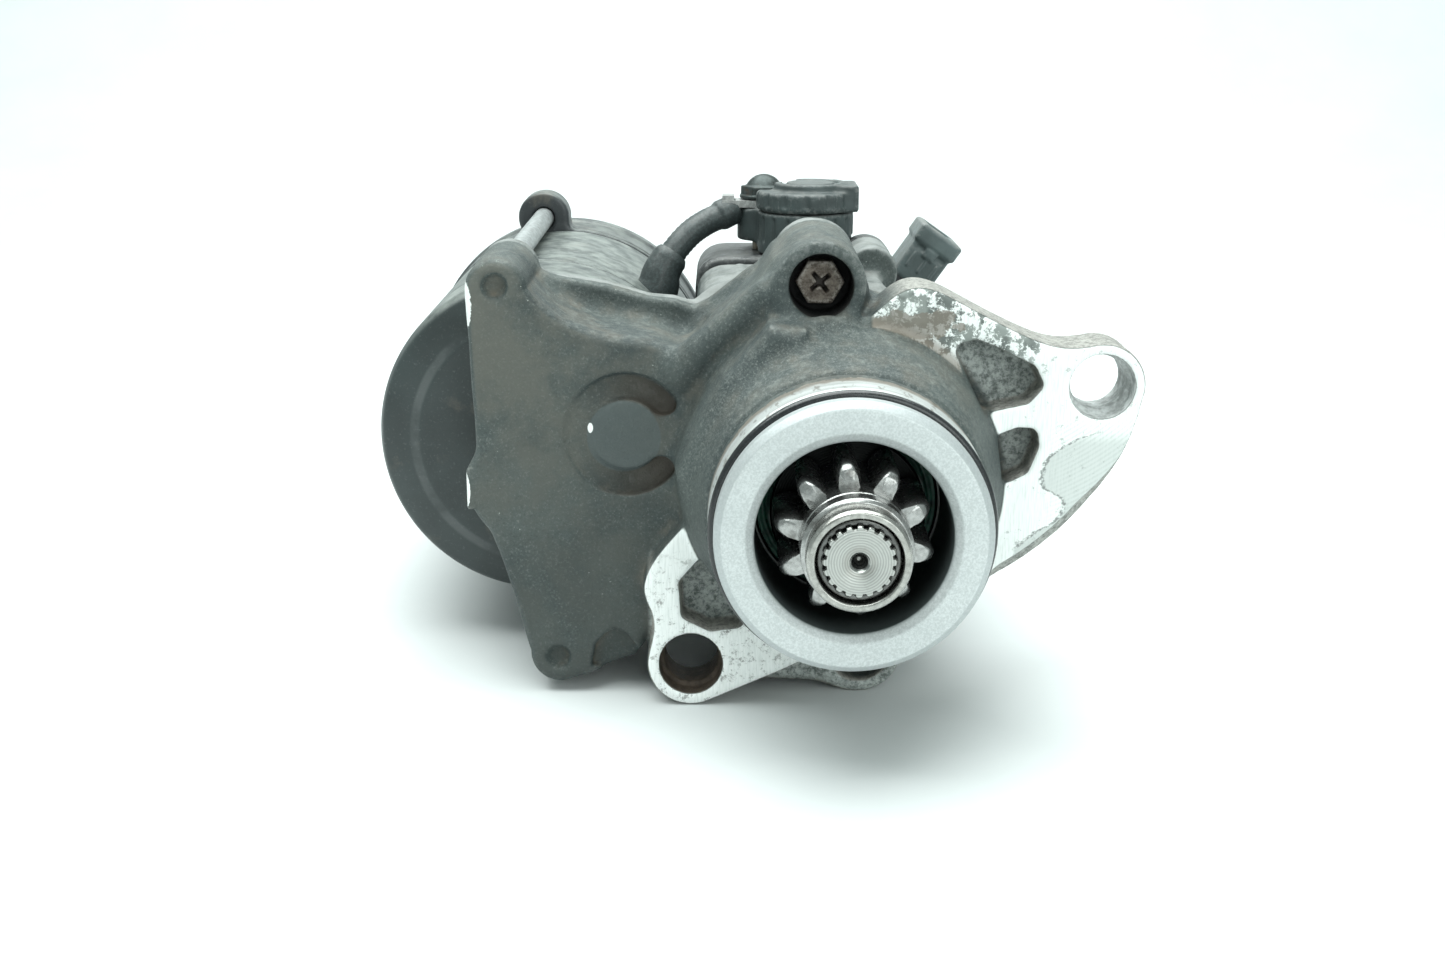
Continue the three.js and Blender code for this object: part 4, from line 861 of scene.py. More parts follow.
def smooth_paint(name, base, dusty, centre=None, gloss=0.42):
    """Even sprayed paint or dip coating on pressed steel, greyer where dust settles, with a painted
    highlight ring round a given centre.
    """
    look = Look(name)
    cloud = look.noise(0.06, 4, 0.55, seed=71)
    color = look.mix(look.ramp(cloud, 0.35, 0.65), base, scaled(base, 1.45))
    fine = look.noise(1.6, 4, 0.7, seed=72)
    color = look.over(color, (0.24, 0.25, 0.25), look.ramp(fine, 0.55, 0.72), 0.18)
    color = look.dusted(color, GREY_DUST, (0.35, 0.95), (0.2, 6, 0.65, 73, 0.30, 0.66), dusty)
    stain = look.cloud(0.09, 6, 0.7, 74, 0.56, 0.70)
    color = look.over(color, BROWN_DUST, stain, 0.35)
    if centre:
        # A lighter ring on the front faces round the centre is a painted highlight along the step arc there.
        rub_and_highlight = look.product(look.span(look.radius(centre), 30.4, 31.6, 0.9), look.ramp(look.ny, -0.6, -0.9),
                           look.ramp(cloud, 0.40, 0.60))
        color = look.over(color, (0.16, 0.17, 0.17), rub_and_highlight, 0.35)
    roughness = look.varied(0.35, 4, 0.6, 75, 0.22, gloss - 0.1)
    return look.finish(color, roughness, None, fine, 0.05)


def dusty_cast():
    """The switch's aluminium housing, painted like the nose and greyed by dust on its top."""
    look = Look("switch_cast")
    color, height = paint_layers(look, dust=0.9, worn=1.3)
    film = (0.14, 6, 0.65, 76, 0.25, 0.62)
    color = look.dusted(color, (0.260, 0.270, 0.262), (0.2, 0.9), film, 0.85)
    roughness = look.varied(0.4, 4, 0.6, 77, 0.2, 0.5)
    return look.finish(color, roughness, None, height, 0.12)


def zinc(name, base=(0.48, 0.50, 0.50), soil=0.45):
    """Dull zinc plating with white bloom and some rust."""
    look = Look(name, metallic=0.75)
    bloom = look.noise(0.8, 6, 0.72, seed=81)
    color = look.mix(look.ramp(bloom, 0.38, 0.64), scaled(base, 0.6), base)
    rust = look.cloud(0.35, 6, 0.75, 82, 0.55, 0.68)
    color = look.over(color, RUST, rust, soil)
    roughness = look.math("MULTIPLY_ADD", bloom, 0.35, 0.28)
    return look.finish(color, roughness, None, bloom, 0.05)


def old_screw():
    """A screw head brown with dirt, with worn corners and painted shade in its recesses."""
    look = Look("old_screw", metallic=0.35)
    crust = look.noise(0.9, 7, 0.72, seed=84)
    color = look.mix(look.ramp(crust, 0.36, 0.64), (0.075, 0.058, 0.046), (0.215, 0.180, 0.150))
    rub_and_highlight = look.product(look.ramp(look.convex(), 0.10, 0.30), look.ramp(crust, 0.42, 0.56))
    color = look.over(color, (0.40, 0.37, 0.34), rub_and_highlight, 0.55)
    # Near black in the concave parts is painted shade in the recesses.
    painted_recess_shade = look.ramp(look.convex(), -0.08, -0.25)
    color = look.over(color, (0.012, 0.010, 0.009), painted_recess_shade, 0.8)
    return look.finish(color, 0.62, None, crust, 0.10)


def plastic(name, base, dusty=0.5, gloss=0.42):
    """Moulded black plastic with a fine spark-eroded grain and settled dust."""
    look = Look(name)
    grain = look.noise(3.2, 3, 0.6, seed=86)
    color = look.mix(look.cloud(0.1, 4, 0.6, 87, 0.35, 0.65), base, scaled(base, 1.7))
    upward = look.ramp(look.nz, 0.1, 0.9)
    settled = look.cloud(0.3, 7, 0.7, 88, 0.36, 0.64)
    color = look.over(color, (0.20, 0.20, 0.19), upward, settled, dusty)
    scuff = look.product(look.ramp(look.convex(), 0.25, 0.6), look.cloud(0.9, 5, 0.7, 89, 0.45, 0.6))
    color = look.over(color, (0.22, 0.225, 0.22), scuff, 0.5)
    roughness = look.math("MULTIPLY_ADD", settled, 0.22, gloss - 0.05)
    return look.finish(color, roughness, None, grain, 0.06)


def rubber(name, base, gloss, dusty):
    """Black rubber or oily synthetic, with dull dust on top."""
    look = Look(name, coat=0.15)
    grain = look.noise(1.6, 5, 0.7, seed=91)
    color = look.mix(look.ramp(grain, 0.40, 0.70), base, scaled(base, 2.4))
    patches = (0.35, 6, 0.7, 92, 0.40, 0.65)
    color = look.dusted(color, (0.17, 0.17, 0.165), (0.2, 0.95), patches, dusty)
    return look.finish(color, gloss, None, grain, 0.05)


def bearing_seal():
    """The dark green moulded rubber seal of the front bearing, slightly shiny with grease."""
    look = Look("bearing_seal", coat=0.3)
    soil = look.cloud(0.5, 6, 0.7, 94, 0.42, 0.66)
    color = look.mix(soil, (0.030, 0.140, 0.095), (0.018, 0.060, 0.044))
    ring = look.math("SINE", look.product(look.radius(), math.tau * 0.9))
    return look.finish(color, 0.42, None, look.math("ADD", ring, soil), 0.05)


def wound_copper(name, centre, pitch, along_y):
    """Enamelled copper wire laid side by side, or copper bars with slots between them."""
    look = Look(name, metallic=0.85)
    if along_y:
        turn = look.math("SINE", look.product(look.y, math.tau / pitch))
    else:
        turn = look.math("SINE", look.product(look.angle(centre), pitch))
    # Dark lines between wires are painted shade in the crevices between turns; on the commutator they are
    # the dark slots between bars.
    groove = look.ramp(turn, -0.97, -0.72)
    tone = look.cloud(0.4, 5, 0.65, 96, 0.35, 0.65)
    copper = look.mix(tone, (0.45, 0.17, 0.07), (0.72, 0.34, 0.17))
    color = look.mix(groove, (0.03, 0.014, 0.008), copper)
    return look.finish(color, look.blend(tone, 0.28, 0.42), None, look.ramp(turn, -1.0, 0.3), 0.25)


def plain_copper():
    """Copper bar stock and contact faces with a brown tarnish."""
    look = Look("plain_copper", metallic=0.95)
    tarnish = look.noise(0.35, 6, 0.7, seed=98)
    color = look.mix(look.ramp(tarnish, 0.38, 0.66), (0.60, 0.27, 0.13), (0.24, 0.10, 0.05))
    return look.finish(color, look.math("MULTIPLY_ADD", tarnish, 0.3, 0.18), None, tarnish, 0.03)


def laminated_iron(name, pitch):
    """Stacked iron sheets with a blue-grey oxide."""
    look = Look(name, metallic=0.6)
    sheet = look.math("SINE", look.product(look.y, math.tau / pitch))
    tone = look.noise(0.4, 5, 0.65, seed=101)
    color = look.mix(look.ramp(tone, 0.35, 0.65), (0.060, 0.062, 0.070), (0.170, 0.172, 0.180))
    color = look.mix(look.ramp(sheet, -0.6, -0.95), color, (0.02, 0.02, 0.022))
    return look.finish(color, 0.45, None, sheet, 0.08)


def brush_carbon():
    """Pressed carbon with copper specks."""
    look = Look("brush_carbon")
    grain = look.noise(3.0, 5, 0.8, seed=104)
    color = look.mix(look.ramp(grain, 0.45, 0.62), (0.018, 0.018, 0.019), (0.075, 0.062, 0.052))
    return look.finish(color, look.math("MULTIPLY_ADD", grain, 0.3, 0.45), None, grain, 0.06)


# ---------------------------------------------------------------- turned and swept pieces


def rounded(profile, radius, steps=4, closed=True):
    """A profile with its corners rounded; an open one keeps its end points."""
    result = []
    count = len(profile)
    for k, corner in enumerate(profile):
        if not closed and k in (0, count - 1):
            result.append(corner)
            continue
        before, after = np.array(profile[k - 1]), np.array(profile[(k + 1) % count])
        corner = np.array(corner)
        back, ahead = before - corner, after - corner
        reach_back = min(radius, np.hypot(*back) * 0.45) / max(np.hypot(*back), 1e-6)
        reach_ahead = min(radius, np.hypot(*ahead) * 0.45) / max(np.hypot(*ahead), 1e-6)
        start, end = corner + back * reach_back, corner + ahead * reach_ahead
        for t in np.linspace(0, 1, steps + 1):
            result.append(tuple((1 - t) ** 2 * start + 2 * t * (1 - t) * corner + t * t * end))
    return result


def skin_rows(name, rows, ends=None):
    """Quads between rows of points. Each end row closes on a point of ends, or the last row on the first."""
    width = len(rows[0])
    points = np.concatenate(rows)
    across = np.arange(width)
    following = (across + 1) % width
    faces = []
    joints = len(rows) - 1 if ends else len(rows)
    for i in range(joints):
        a, b = i * width, (i + 1) % len(rows) * width
        faces += np.stack([a + across, b + across, b + following, a + following], 1).tolist()
    if ends:
        first, last = len(points), len(points) + 1
        points = np.concatenate([points, np.array(ends, float)])
        base = (len(rows) - 1) * width
        faces += [[first, int(k), int(n)] for k, n in zip(across, following)]
        faces += [[last, int(base + n), int(base + k)] for k, n in zip(across, following)]
    volume = sum(np.dot(points[f[0]], np.cross(points[f[1]], points[f[2]])) for f in faces)
    quads = [f for f in faces if len(f) > 3]
    volume += sum(np.dot(points[f[0]], np.cross(points[f[2]], points[f[3]])) for f in quads)
    if volume < 0:
        faces = [f[::-1] for f in faces]
    return new_piece(name, points, faces)


def revolve(name, centre, profile, segments, wave=None):
    """A profile of radius and y turned round an axis along Y. One that starts on the axis ends there."""
    angles = np.linspace(0, math.tau, segments, endpoint=False)
    on_axis = profile[0][0] == 0
    rows = []
    for radius, y in profile[1:-1] if on_axis else profile:
        radii = wave(radius, y, angles) if wave else np.full(segments, radius)
        rows.append(np.stack([centre[0] + radii * np.cos(angles), np.full(segments, y),
                              centre[1] + radii * np.sin(angles)], 1))
    ends = [(centre[0], profile[k][1], centre[1]) for k in (0, -1)] if on_axis else None
    return skin_rows(name, rows, ends)


def threaded(radius, pitch, depth, from_y, to_y):
    """A wave for revolve that cuts a screw thread between two stations."""
    def wave(r, y, angles):
        cut_in = depth if from_y < y < to_y and abs(r - radius) < 1e-6 else 0.0
        turn = (y / pitch - angles / (math.tau)) % 1
        return r - cut_in * np.abs(2 * turn - 1)
    return wave


def spline_route(points, steps=8):
    """Points on one smooth curve through the given ones."""
    points = [np.array(p, float) for p in points]
    padded = [2 * points[0] - points[1], *points, 2 * points[-1] - points[-2]]
    result = []
    for a, b, c, d in zip(padded, padded[1:], padded[2:], padded[3:]):
        for t in np.arange(steps) / steps:
            result.append(0.5 * (2 * b + (c - a) * t + (2 * a - 5 * b + 4 * c - d) * t * t
                                 + (3 * b - a - 3 * c + d) * t ** 3))
    return result + [points[-1]]


def sweep(name, route, radii, sides, bore=None):
    """A round section carried along a route; with a bore it is a sleeve of that inner radius."""
    route = np.array(route)
    tangents = np.gradient(route, axis=0)
    tangents /= np.linalg.norm(tangents, axis=1)[:, None]
    normal = np.cross(tangents[0], (0.0, 1.0, 0.0))
    angles = np.linspace(0, math.tau, sides, endpoint=False)
    outer, inner = [], []
    for place, tangent, radius in zip(route, tangents, radii):
        normal = normal - tangent * normal.dot(tangent)
        normal /= np.linalg.norm(normal)
        other = np.cross(tangent, normal)
        circle = np.outer(np.cos(angles), normal) + np.outer(np.sin(angles), other)
        outer.append(place + radius * circle)
        inner.append(place + (bore or 0) * circle)
    if bore:
        return skin_rows(name, outer + inner[::-1])
    return skin_rows(name, outer, (route[0], route[-1]))


# ---------------------------------------------------------------- drive housing


def eased_polygon(grid, points, radius):
    """A polygon with its corners rounded inwards."""
    centre = np.mean(points, axis=0)
    reach = np.mean([math.dist(p, centre) for p in points])
    shrunk = [tuple(centre + (np.array(p) - centre) * (1 - radius / reach)) for p in points]
    return grid.polygon(shrunk) - radius * 0.8


def crescent_groove(grid):
    """The groove round the idler's boss: deep at its two ends on the right, faint on the left."""
    dx, dz = grid.x - IDLER[0] - 0.6, grid.z - IDLER[1] - 0.6
    angle = np.degrees(np.arctan2(dz, dx)) % 360
    away_from_left = np.abs(angle - GROOVE_MIDDLE) / GROOVE_FADE_ANGLE
    depth = 0.6 + 2.0 * np.clip((away_from_left - 0.22) / 0.45, 0, 1)
    rho = np.hypot(dx, dz)
    across = np.abs(rho - GROOVE_RADIUS) - GROOVE_HALF_WIDTH
    past_end = (np.abs(angle - GROOVE_MIDDLE) - GROOVE_HALF_ANGLE) * np.pi / 180 * GROOVE_RADIUS
    flat = np.hypot(np.maximum(across + GROOVE_HALF_WIDTH, 0), np.maximum(past_end, 0)) - GROOVE_HALF_WIDTH
    flat = np.where(past_end > 0, flat, across)
    return overlap(flat, grid.y - CASE_FRONT_Y - depth, 1.2)


def gear_case(grid):
    """The gear case's outside: plate, drum, shoulder and the rim that flares to the rear split."""
    back = CASE_BACK_Y + 4
    body = grid.slab(grid.polygon(case_outline()), CASE_FRONT_Y, back, 2.2)
    body = join(body, grid.rod(MOTOR_BOSS, MOTOR_BOSS_RADIUS, CASE_FRONT_Y, back, 2.2), 1.0)
    body = join(body, grid.rod((-84.2, -3.2), 5.2, CASE_FRONT_Y - 0.4, back, 0.5) + 0.35, 0.4)
    body = overlap(body, CASE_LEFT_X - grid.x)
    body = join(body, grid.rod(PINION, DRUM_RADIUS, CASE_FRONT_Y + 0.5, back, 3.0), 6.0)
    body = join(body, grid.slab(grid.polygon(SHOULDER), CASE_FRONT_Y, back, 3.0), 5.0)
    knee = (-31, 7.2, 29.2)
    rib = join(grid.bar((-36, 8.5, 24.5), knee, 3.4), grid.bar(knee, (-17.5, 5.5, 41.5), 3.2))
    body = join(body, rib, 5.0)
    body = join(body, grid.slab(grid.polygon(RIM_OUTLINE), 34.0, back, 1.2), 4.5)
    underside = grid.slab(grid.polygon(UNDERSIDE), 9, back, 3.0)
    return join(body, underside, 5.0)


def drive_casting(grid):
    """The drive housing as one solid: case, nose, lugs and flange, less its holes and hollows."""
    solid = gear_case(grid)
    nose = grid.turned(PINION, [
        (0, -24), (29.2, -24), (29.3, -22.5), (30.4, -21.9), (34.5, -7), (36, 0), (36, 12), (0, 12)])
    solid = join(solid, grid.slab(grid.polygon(GUSSET), -10.5, 12, 3.0), 4.5)
    solid = join(solid, nose, 4.0)
    solid = join(solid, grid.rod(TOP_LUG, TOP_LUG_RADIUS, 0, CASE_BACK_Y + 4, 1.1), 5.5)
    solid = join(solid, grid.rod((-3.4, 32.6), 5.6, -3.6, 12, 2.0), 4.0)
    solid = join(solid, grid.rod(BOTTOM_LUG, BOTTOM_LUG_RADIUS, 9, CASE_BACK_Y + 4, 0.8), 4.0)
    outline = grid.polygon(flange_outline())
    bevel = 2.8 * np.clip((10 - grid.z) / 14, 0, 1) * np.clip((grid.x - 26) / 10, 0, 1)
    flange = overlap(grid.slab(outline, 0, FLANGE_BACK_Y, 1.0), (outline + bevel - grid.y) * 0.7, 0.3)
    solid = join(solid, flange, 2.0)
    solid = overlap(solid, grid.y - CASE_BACK_Y, 0.5)
    ripple = np.sin(grid.x * 0.31 + 1) * np.sin(grid.z * 0.37) * np.sin(grid.y * 0.29 + 2)
    solid = solid + 0.14 * ripple * np.clip((grid.y - 1.5) / 3, 0, 1)

    for pocket in POCKETS:
        solid = cut(solid, grid.slab(eased_polygon(grid, pocket, 2.2), -6, 8, 1.6), 0.9)
    for ear in (UPPER_EAR, LOWER_EAR):
        solid = cut(solid, grid.rod(ear, EAR_SEAT, -4, 5, 0.3), 0.5)
        solid = cut(solid, grid.rod(ear, EAR_HOLE, 0, 20), 0.5)
    for lug, seat in ((TOP_LUG, 12), (BOTTOM_LUG, 20)):
        solid = cut(solid, grid.rod(lug, LUG_BORE, seat - 14, seat, 0.5), 0.8)
        solid = cut(solid, grid.rod(lug, SCREW_HOLE, seat - 2, 50))
    solid = cut(solid, crescent_groove(grid), 0.9)
    solid = cut(solid, grid.slab(grid.polygon(ARCH), 0, CASE_FRONT_Y + 3.2, 1.0), 1.2)
    for x, z in EAR_DIMPLES:
        solid = cut(solid, grid.ball((x, CASE_FRONT_Y - 0.4, z), 2.9), 0.8)
    solid = cut(solid, grid.ball((-33.4, 27.5, 33.4), 3.0), 2.0)

    hollow = grid.turned(PINION, [
        (0, -30), (21.8, -30), (21.8, -15), (21.3, -15), (21.3, -5.4), (27, -5.4), (27, 13), (0, 13)])
    hollow = join(hollow, grid.rod(PINION, DRUM_INSIDE, 12, 60))
    hollow = join(hollow, grid.slab(grid.polygon(GEAR_SPACE), 12, 60), 2.0)
    hollow = join(hollow, grid.rod(MOTOR, 10.2, 12, 60), 1.0)
    hollow = cut(hollow, grid.rod(IDLER, 7, 11, 13.7))
    hollow = join(hollow, grid.rod(IDLER, 4.3, 10.5, 14))
    for bolt in (TOP_BOLT, BOTTOM_BOLT):
        hollow = join(hollow, grid.rod(bolt, BOLT_HOLE, 14, 60))
    return cut(solid, hollow)


def make_drive_housing():
    grid = Grid((-86, -25.5, -54), (68.5, 40.2, 57), CASTING_PITCH)
    casting = cast_piece("drive_housing_casting", grid, drive_casting(grid))
    finish_piece(casting, "root", "cast_paint", drive_cast(), "drive_housing")
    front = RING_FACE_Y
    profile = [
        (22.0, front), (26.9, front), (28.4, front + 1.5), (28.4, -38.3), (27.2, -38.2), (27.2, -35.8),
        (29.2, -35.7), (29.6, -35.3), (29.6, -22.0), (29.3, -20.5), (24.0, -20.5), (21.75, -15.2),
        (BORE_RADIUS, -15.2), (BORE_RADIUS, front + 1.3),
    ]
    pilot = revolve("drive_housing_pilot", PINION, rounded(profile, 0.35), 288)
    finish_piece(pilot, "root", "cast_paint", pilot_metal(), "drive_housing")
    turns = np.linspace(0, math.tau, 18, endpoint=False)
    section = [(28.5 + 1.1 * math.cos(t), -37 + 1.1 * math.sin(t)) for t in turns]
    oring = revolve("nose_oring_round", PINION, section[::-1], 240)
    oily = rubber("oring_rubber", (0.008, 0.009, 0.010), 0.22, 0.1)
    finish_piece(oring, "root", "black_rubber", oily, "nose_oring")


# ---------------------------------------------------------------- screws and bolts


def hexagon(u, v, flats):
    """Distances to a hexagon with two flats that face along v, and that size across its flats."""
    turns = np.radians((90, 30, 150))
    return np.maximum.reduce([np.abs(u * np.cos(t) + v * np.sin(t)) for t in turns]) - flats / 2


def screw_head(name, axis, front, back, flats=None, radius=None, faces_back=False, recess=True):
    """A hexagon or round screw head with a chamfered edge and a cross recess."""
    reach = (flats or 2 * radius) / 2 * 1.25
    low = (axis[0] - reach, front - 1, axis[1] - reach)
    high = (axis[0] + reach, back + 1, axis[1] + reach)
    grid = Grid(low, high, SCREW_PITCH)
    dx, dz = grid.x - axis[0], grid.z - axis[1]
    if flats:
        flat = hexagon(dx, dz, flats)
    else:
        flat = grid.disc(axis, radius)
    head = grid.slab(flat, front, back, 0.35)
    outer = (flats or 2 * radius) / 2
    depth = (back - grid.y) if faces_back else (grid.y - front)
    head = overlap(head, (np.hypot(dx, dz) - outer - 0.15 - depth * 1.6) * 0.53, 0.3)
    if recess:
        c, s = math.cos(math.radians(38)), math.sin(math.radians(38))
        u, v = np.abs(dx * c + dz * s), np.abs(dz * c - dx * s)
        reach_in = 2.8 - depth * 0.5
        arms = np.minimum(np.maximum(u - reach_in, v - 0.48), np.maximum(v - reach_in, u - 0.48))
        cross = np.maximum(np.minimum(arms, np.hypot(dx, dz) - 0.9), depth - 2.4)
        head = cut(head, cross, 0.25)
    return cast_piece(name, grid, head)


def shank(name, axis, radius, front, back, pitch=1.0, thread_from=None):
    """A plain shank that ends in a screw thread."""
    start = thread_from if thread_from is not None else back
    stations = [front, *np.arange(start, back - 0.8, pitch / 6), back - 0.7]
    profile = [(0, front), *((radius, y) for y in stations), (radius - 0.7, back), (0, back)]
    return revolve(name, axis, profile, 32, threaded(radius, pitch, 0.6 * pitch, start, back - 0.7))


def make_fasteners():
    dirty = old_screw()
    plated = zinc("zinc_bolt")
    for name, axis, front in (("top", TOP_LUG, 6.7), ("bottom", BOTTOM_LUG, 14.7)):
        node = f"housing_screw_{name}"
        head = screw_head(f"{node}_head", axis, front, front + 5, flats=SCREW_FLATS)
        finish_piece(head, "root", "steel", dirty, node)
        stem = shank(f"{node}_shank", axis, 3.0, front + 4.8, 56, thread_from=44)
        finish_piece(stem, "root", "steel", dirty, node)
    for name, axis in (("top", TOP_BOLT), ("bottom", BOTTOM_BOLT)):
        node = f"through_bolt_{name}"
        front = REAR_EAR_BACK_Y + 0.3
        head = screw_head(f"{node}_head", axis, front, front + 5, flats=BOLT_FLATS, faces_back=True,
                          recess=False)
        finish_piece(head, "root", "zinc_steel", plated, node)
        sides = rounded([(2.2, 15), (2.8, 15.6), (2.8, 138.5)], 0.2, closed=False)
        stem = revolve(f"{node}_shank", axis, [(0, 15), *sides, (0, 138.5)], 40)
        finish_piece(stem, "root", "zinc_steel", plated, node)
    for k, axis in enumerate(COVER_SCREWS, 1):
        node = f"cover_screw_{k}"
        head = screw_head(f"{node}_head", axis, 84.3, 87.3, radius=COVER_SCREW_HEAD, faces_back=True)
        finish_piece(head, "root", "zinc_steel", plated, node)
        stem = shank(f"{node}_shank", axis, 2.0, 62, 84.6)
        finish_piece(stem, "root", "zinc_steel", plated, node)


# ---------------------------------------------------------------- pinion, shaft and front bearing


def involute(angle):
    """The involute function of a pressure angle."""
    return math.tan(angle) - angle


def tooth_half_angle(radius):
    """Half of a pinion tooth's width, as an angle, at a radius."""
    base = PINION_PITCH_RADIUS * math.cos(PINION_PRESSURE)
    roll = math.acos(min(1.0, base / radius))
    half_pitch = math.pi / (2 * PINION_TEETH) - TOOTH_THINNING / (2 * PINION_PITCH_RADIUS)
    return half_pitch + involute(PINION_PRESSURE) - involute(roll)


def tooth_points(tip, shrink):
    """One tooth and the root after it, as radius and angle, with its edges eased at the tip."""
    rising = []
    for share in np.linspace(0, 1, 9):
        radius = max(PINION_ROOT + (tip - PINION_ROOT) * share, PINION_ROOT)
        eased = shrink + 0.28 * max(0.0, (share - 0.75) / 0.25) ** 2
        rising.append((radius, max(tooth_half_angle(radius) - eased / radius, 0.012)))
    top_half = rising[-1][1]
    across = np.linspace(-1, 1, 7)[1:-1]
    crown = [(tip + TIP_CROWN * math.cos(t * math.pi / 2), t * top_half) for t in across]
    root_half = rising[0][1]
    gap = math.tau / PINION_TEETH - 2 * root_half
    root = [(PINION_ROOT, root_half + gap * t) for t in np.linspace(0, 1, 6)[1:-1]]
    return [(r, -a) for r, a in rising] + crown + [(r, a) for r, a in rising[::-1]] + root


def gear_row(y, tip, shrink):
    """All teeth of the pinion as one closed row of points at a station."""
    points = []
    for tooth in range(PINION_TEETH):
        middle_angle = PINION_TOP_TOOTH + tooth * math.tau / PINION_TEETH
        points += [(r * math.cos(a + middle_angle), y, r * math.sin(a + middle_angle))
                   for r, a in tooth_points(min(tip, PINION_TIP - TIP_CROWN), shrink)]
    return np.array(points)


def round_row(like, radius, y):
    """A plain circle whose points lie at the same angles as those of a gear row."""
    angles = np.arctan2(like[:, 2], like[:, 0])
    return np.stack([radius * np.cos(angles), np.full(len(like), y), radius * np.sin(angles)], 1)


def make_pinion():
    polished = steel("polished_steel", (0.43, 0.43, 0.42), 0.22, 0.60, (0.065, 0.058, 0.050))
    like = gear_row(RING_FACE_Y, PINION_TIP, 0)
    hub = rounded([(PINION_BORE, -51.6), (PINION_BORE + 0.4, -52), (10.5, -52), (11.25, -51.3),
                   (11.25, -47.7), (10.85, -47.3), (10.85, -47.1), (11.25, -46.7),
                   (11.25, RING_FACE_Y - 0.05)], 0.22, closed=False)
    rows = [round_row(like, radius, y) for radius, y in hub]
    chamfer = ((0, 14.3, 0.62), (0.2, 14.7, 0.50), (1.0, 15.5, 0.20), (1.5, 15.9, 0.02), (2.4, 16.28, 0.0),
               (3.8, 16.28, 0.0), (18.6, 16.28, 0.0), (20.2, 15.6, 0.3), (21, 14.8, 0.7))
    rows += [gear_row(RING_FACE_Y + depth, tip, shrink) for depth, tip, shrink in chamfer]
    rows += [round_row(like, PINION_BORE + 0.5, -22), round_row(like, PINION_BORE, -22.4)]
    pinion = skin_rows("pinion_gear", rows)
    finish_piece(pinion, "drive", "steel", polished, "pinion")

    collar = rounded([(7.95, -52.3), (7.95, -54), (8.65, -54.6), (8.65, -57.2), (8.95, -57.5), (9.9, -57.5),
                      (10.4, -56.6), (10.4, -52.3)], 0.3)
    nickel = steel("nickel", (0.44, 0.435, 0.41), 0.24, 0.30, (0.10, 0.09, 0.08))
    piece = revolve("stop_collar_ring", PINION, collar, 180)
    finish_piece(piece, "drive", "zinc_steel", nickel, "stop_collar")
    ring = rounded([(6.8, -56), (8.3, -56), (8.3, -54.8), (6.8, -54.8)], 0.55)
    dark = steel("oiled_steel", (0.16, 0.16, 0.155), 0.22, 0.4)
    piece = revolve("snap_ring_wire", PINION, ring, 120)
    finish_piece(piece, "drive", "core_iron", dark, "snap_ring")


def spline_wave(radius, y, angles):
    """Notches round the shaft's tip, where its splines run out in the end face."""
    if y > -53 or radius < 7.0:
        return np.full(len(angles), radius)
    turn = (angles * SPLINE_COUNT / (math.tau)) % 1
    notch = np.clip((0.27 - np.abs(turn - 0.5)) / 0.10, 0, 1)
    return radius - SPLINE_DEPTH * notch


def make_shaft():
    tip = [(0, -54.4), (0.45, -54.6), (0.95, -55.6), (1.0, -56.2), (2.0, -57.3), (2.35, -57.5),
           (6.0, -57.5), (7.05, -57.5), (7.3, -57.25), (SHAFT_RADIUS, -57.0), (SHAFT_RADIUS, -56.35)]
    ring_groove = [(6.5, -56.3), (6.5, -54.5), (SHAFT_RADIUS, -54.45), (SHAFT_RADIUS, -53.0)]
    disc = [(SHAFT_RADIUS, -22), (7.6, -21.7), (16.1, -21.7), (16.5, -21.3), (16.5, -20.1), (16.2, -19.7),
            (6.6, -19.6)]
    neck = [(6.4, -19.0), (6.4, 11.6), (6.8, 12), (8.6, 12)]
    end = [(9, 12.4), (9, 30.6), (8.6, 31), (3.3, 31), (3.1, 29.0), (0, 28)]
    profile = [*tip, *ring_groove, *disc, *neck, *end]
    shaft = revolve("pinion_shaft_splined", PINION, profile, 12 * SPLINE_COUNT, spline_wave)
    finish_piece(shaft, "drive", "steel", shaft_steel(), "pinion_shaft")


def make_return_spring():
    """The spring round the shaft's neck."""
    steps = 24 * SPRING_TURNS
    rising_turns = SPRING_TURNS - 2 * SPRING_FLAT_TURNS
    route = []
    for k in range(steps + 1):
        turn = k / steps * SPRING_TURNS
        rise = min(max(turn - SPRING_FLAT_TURNS, 0), rising_turns) / rising_turns
        flat_turns = min(turn, SPRING_FLAT_TURNS) + max(turn - SPRING_TURNS + SPRING_FLAT_TURNS, 0)
        flat = SPRING_WIRE * 2.0 * flat_turns
        y = SPRING_FRONT_Y + flat + rise * (SPRING_LENGTH - 3.2 * SPRING_WIRE)
        angle = math.tau * turn
        route.append((SPRING_RADIUS * math.cos(angle), y, SPRING_RADIUS * math.sin(angle)))
    coil = sweep("return_spring_coil", np.array(route), np.full(len(route), SPRING_WIRE), 12)
    wire = steel("spring_steel", (0.20, 0.20, 0.21), 0.30, 0.5)
    finish_piece(coil, "clutch_inner", "core_iron", wire, "return_spring")
    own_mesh(coil)


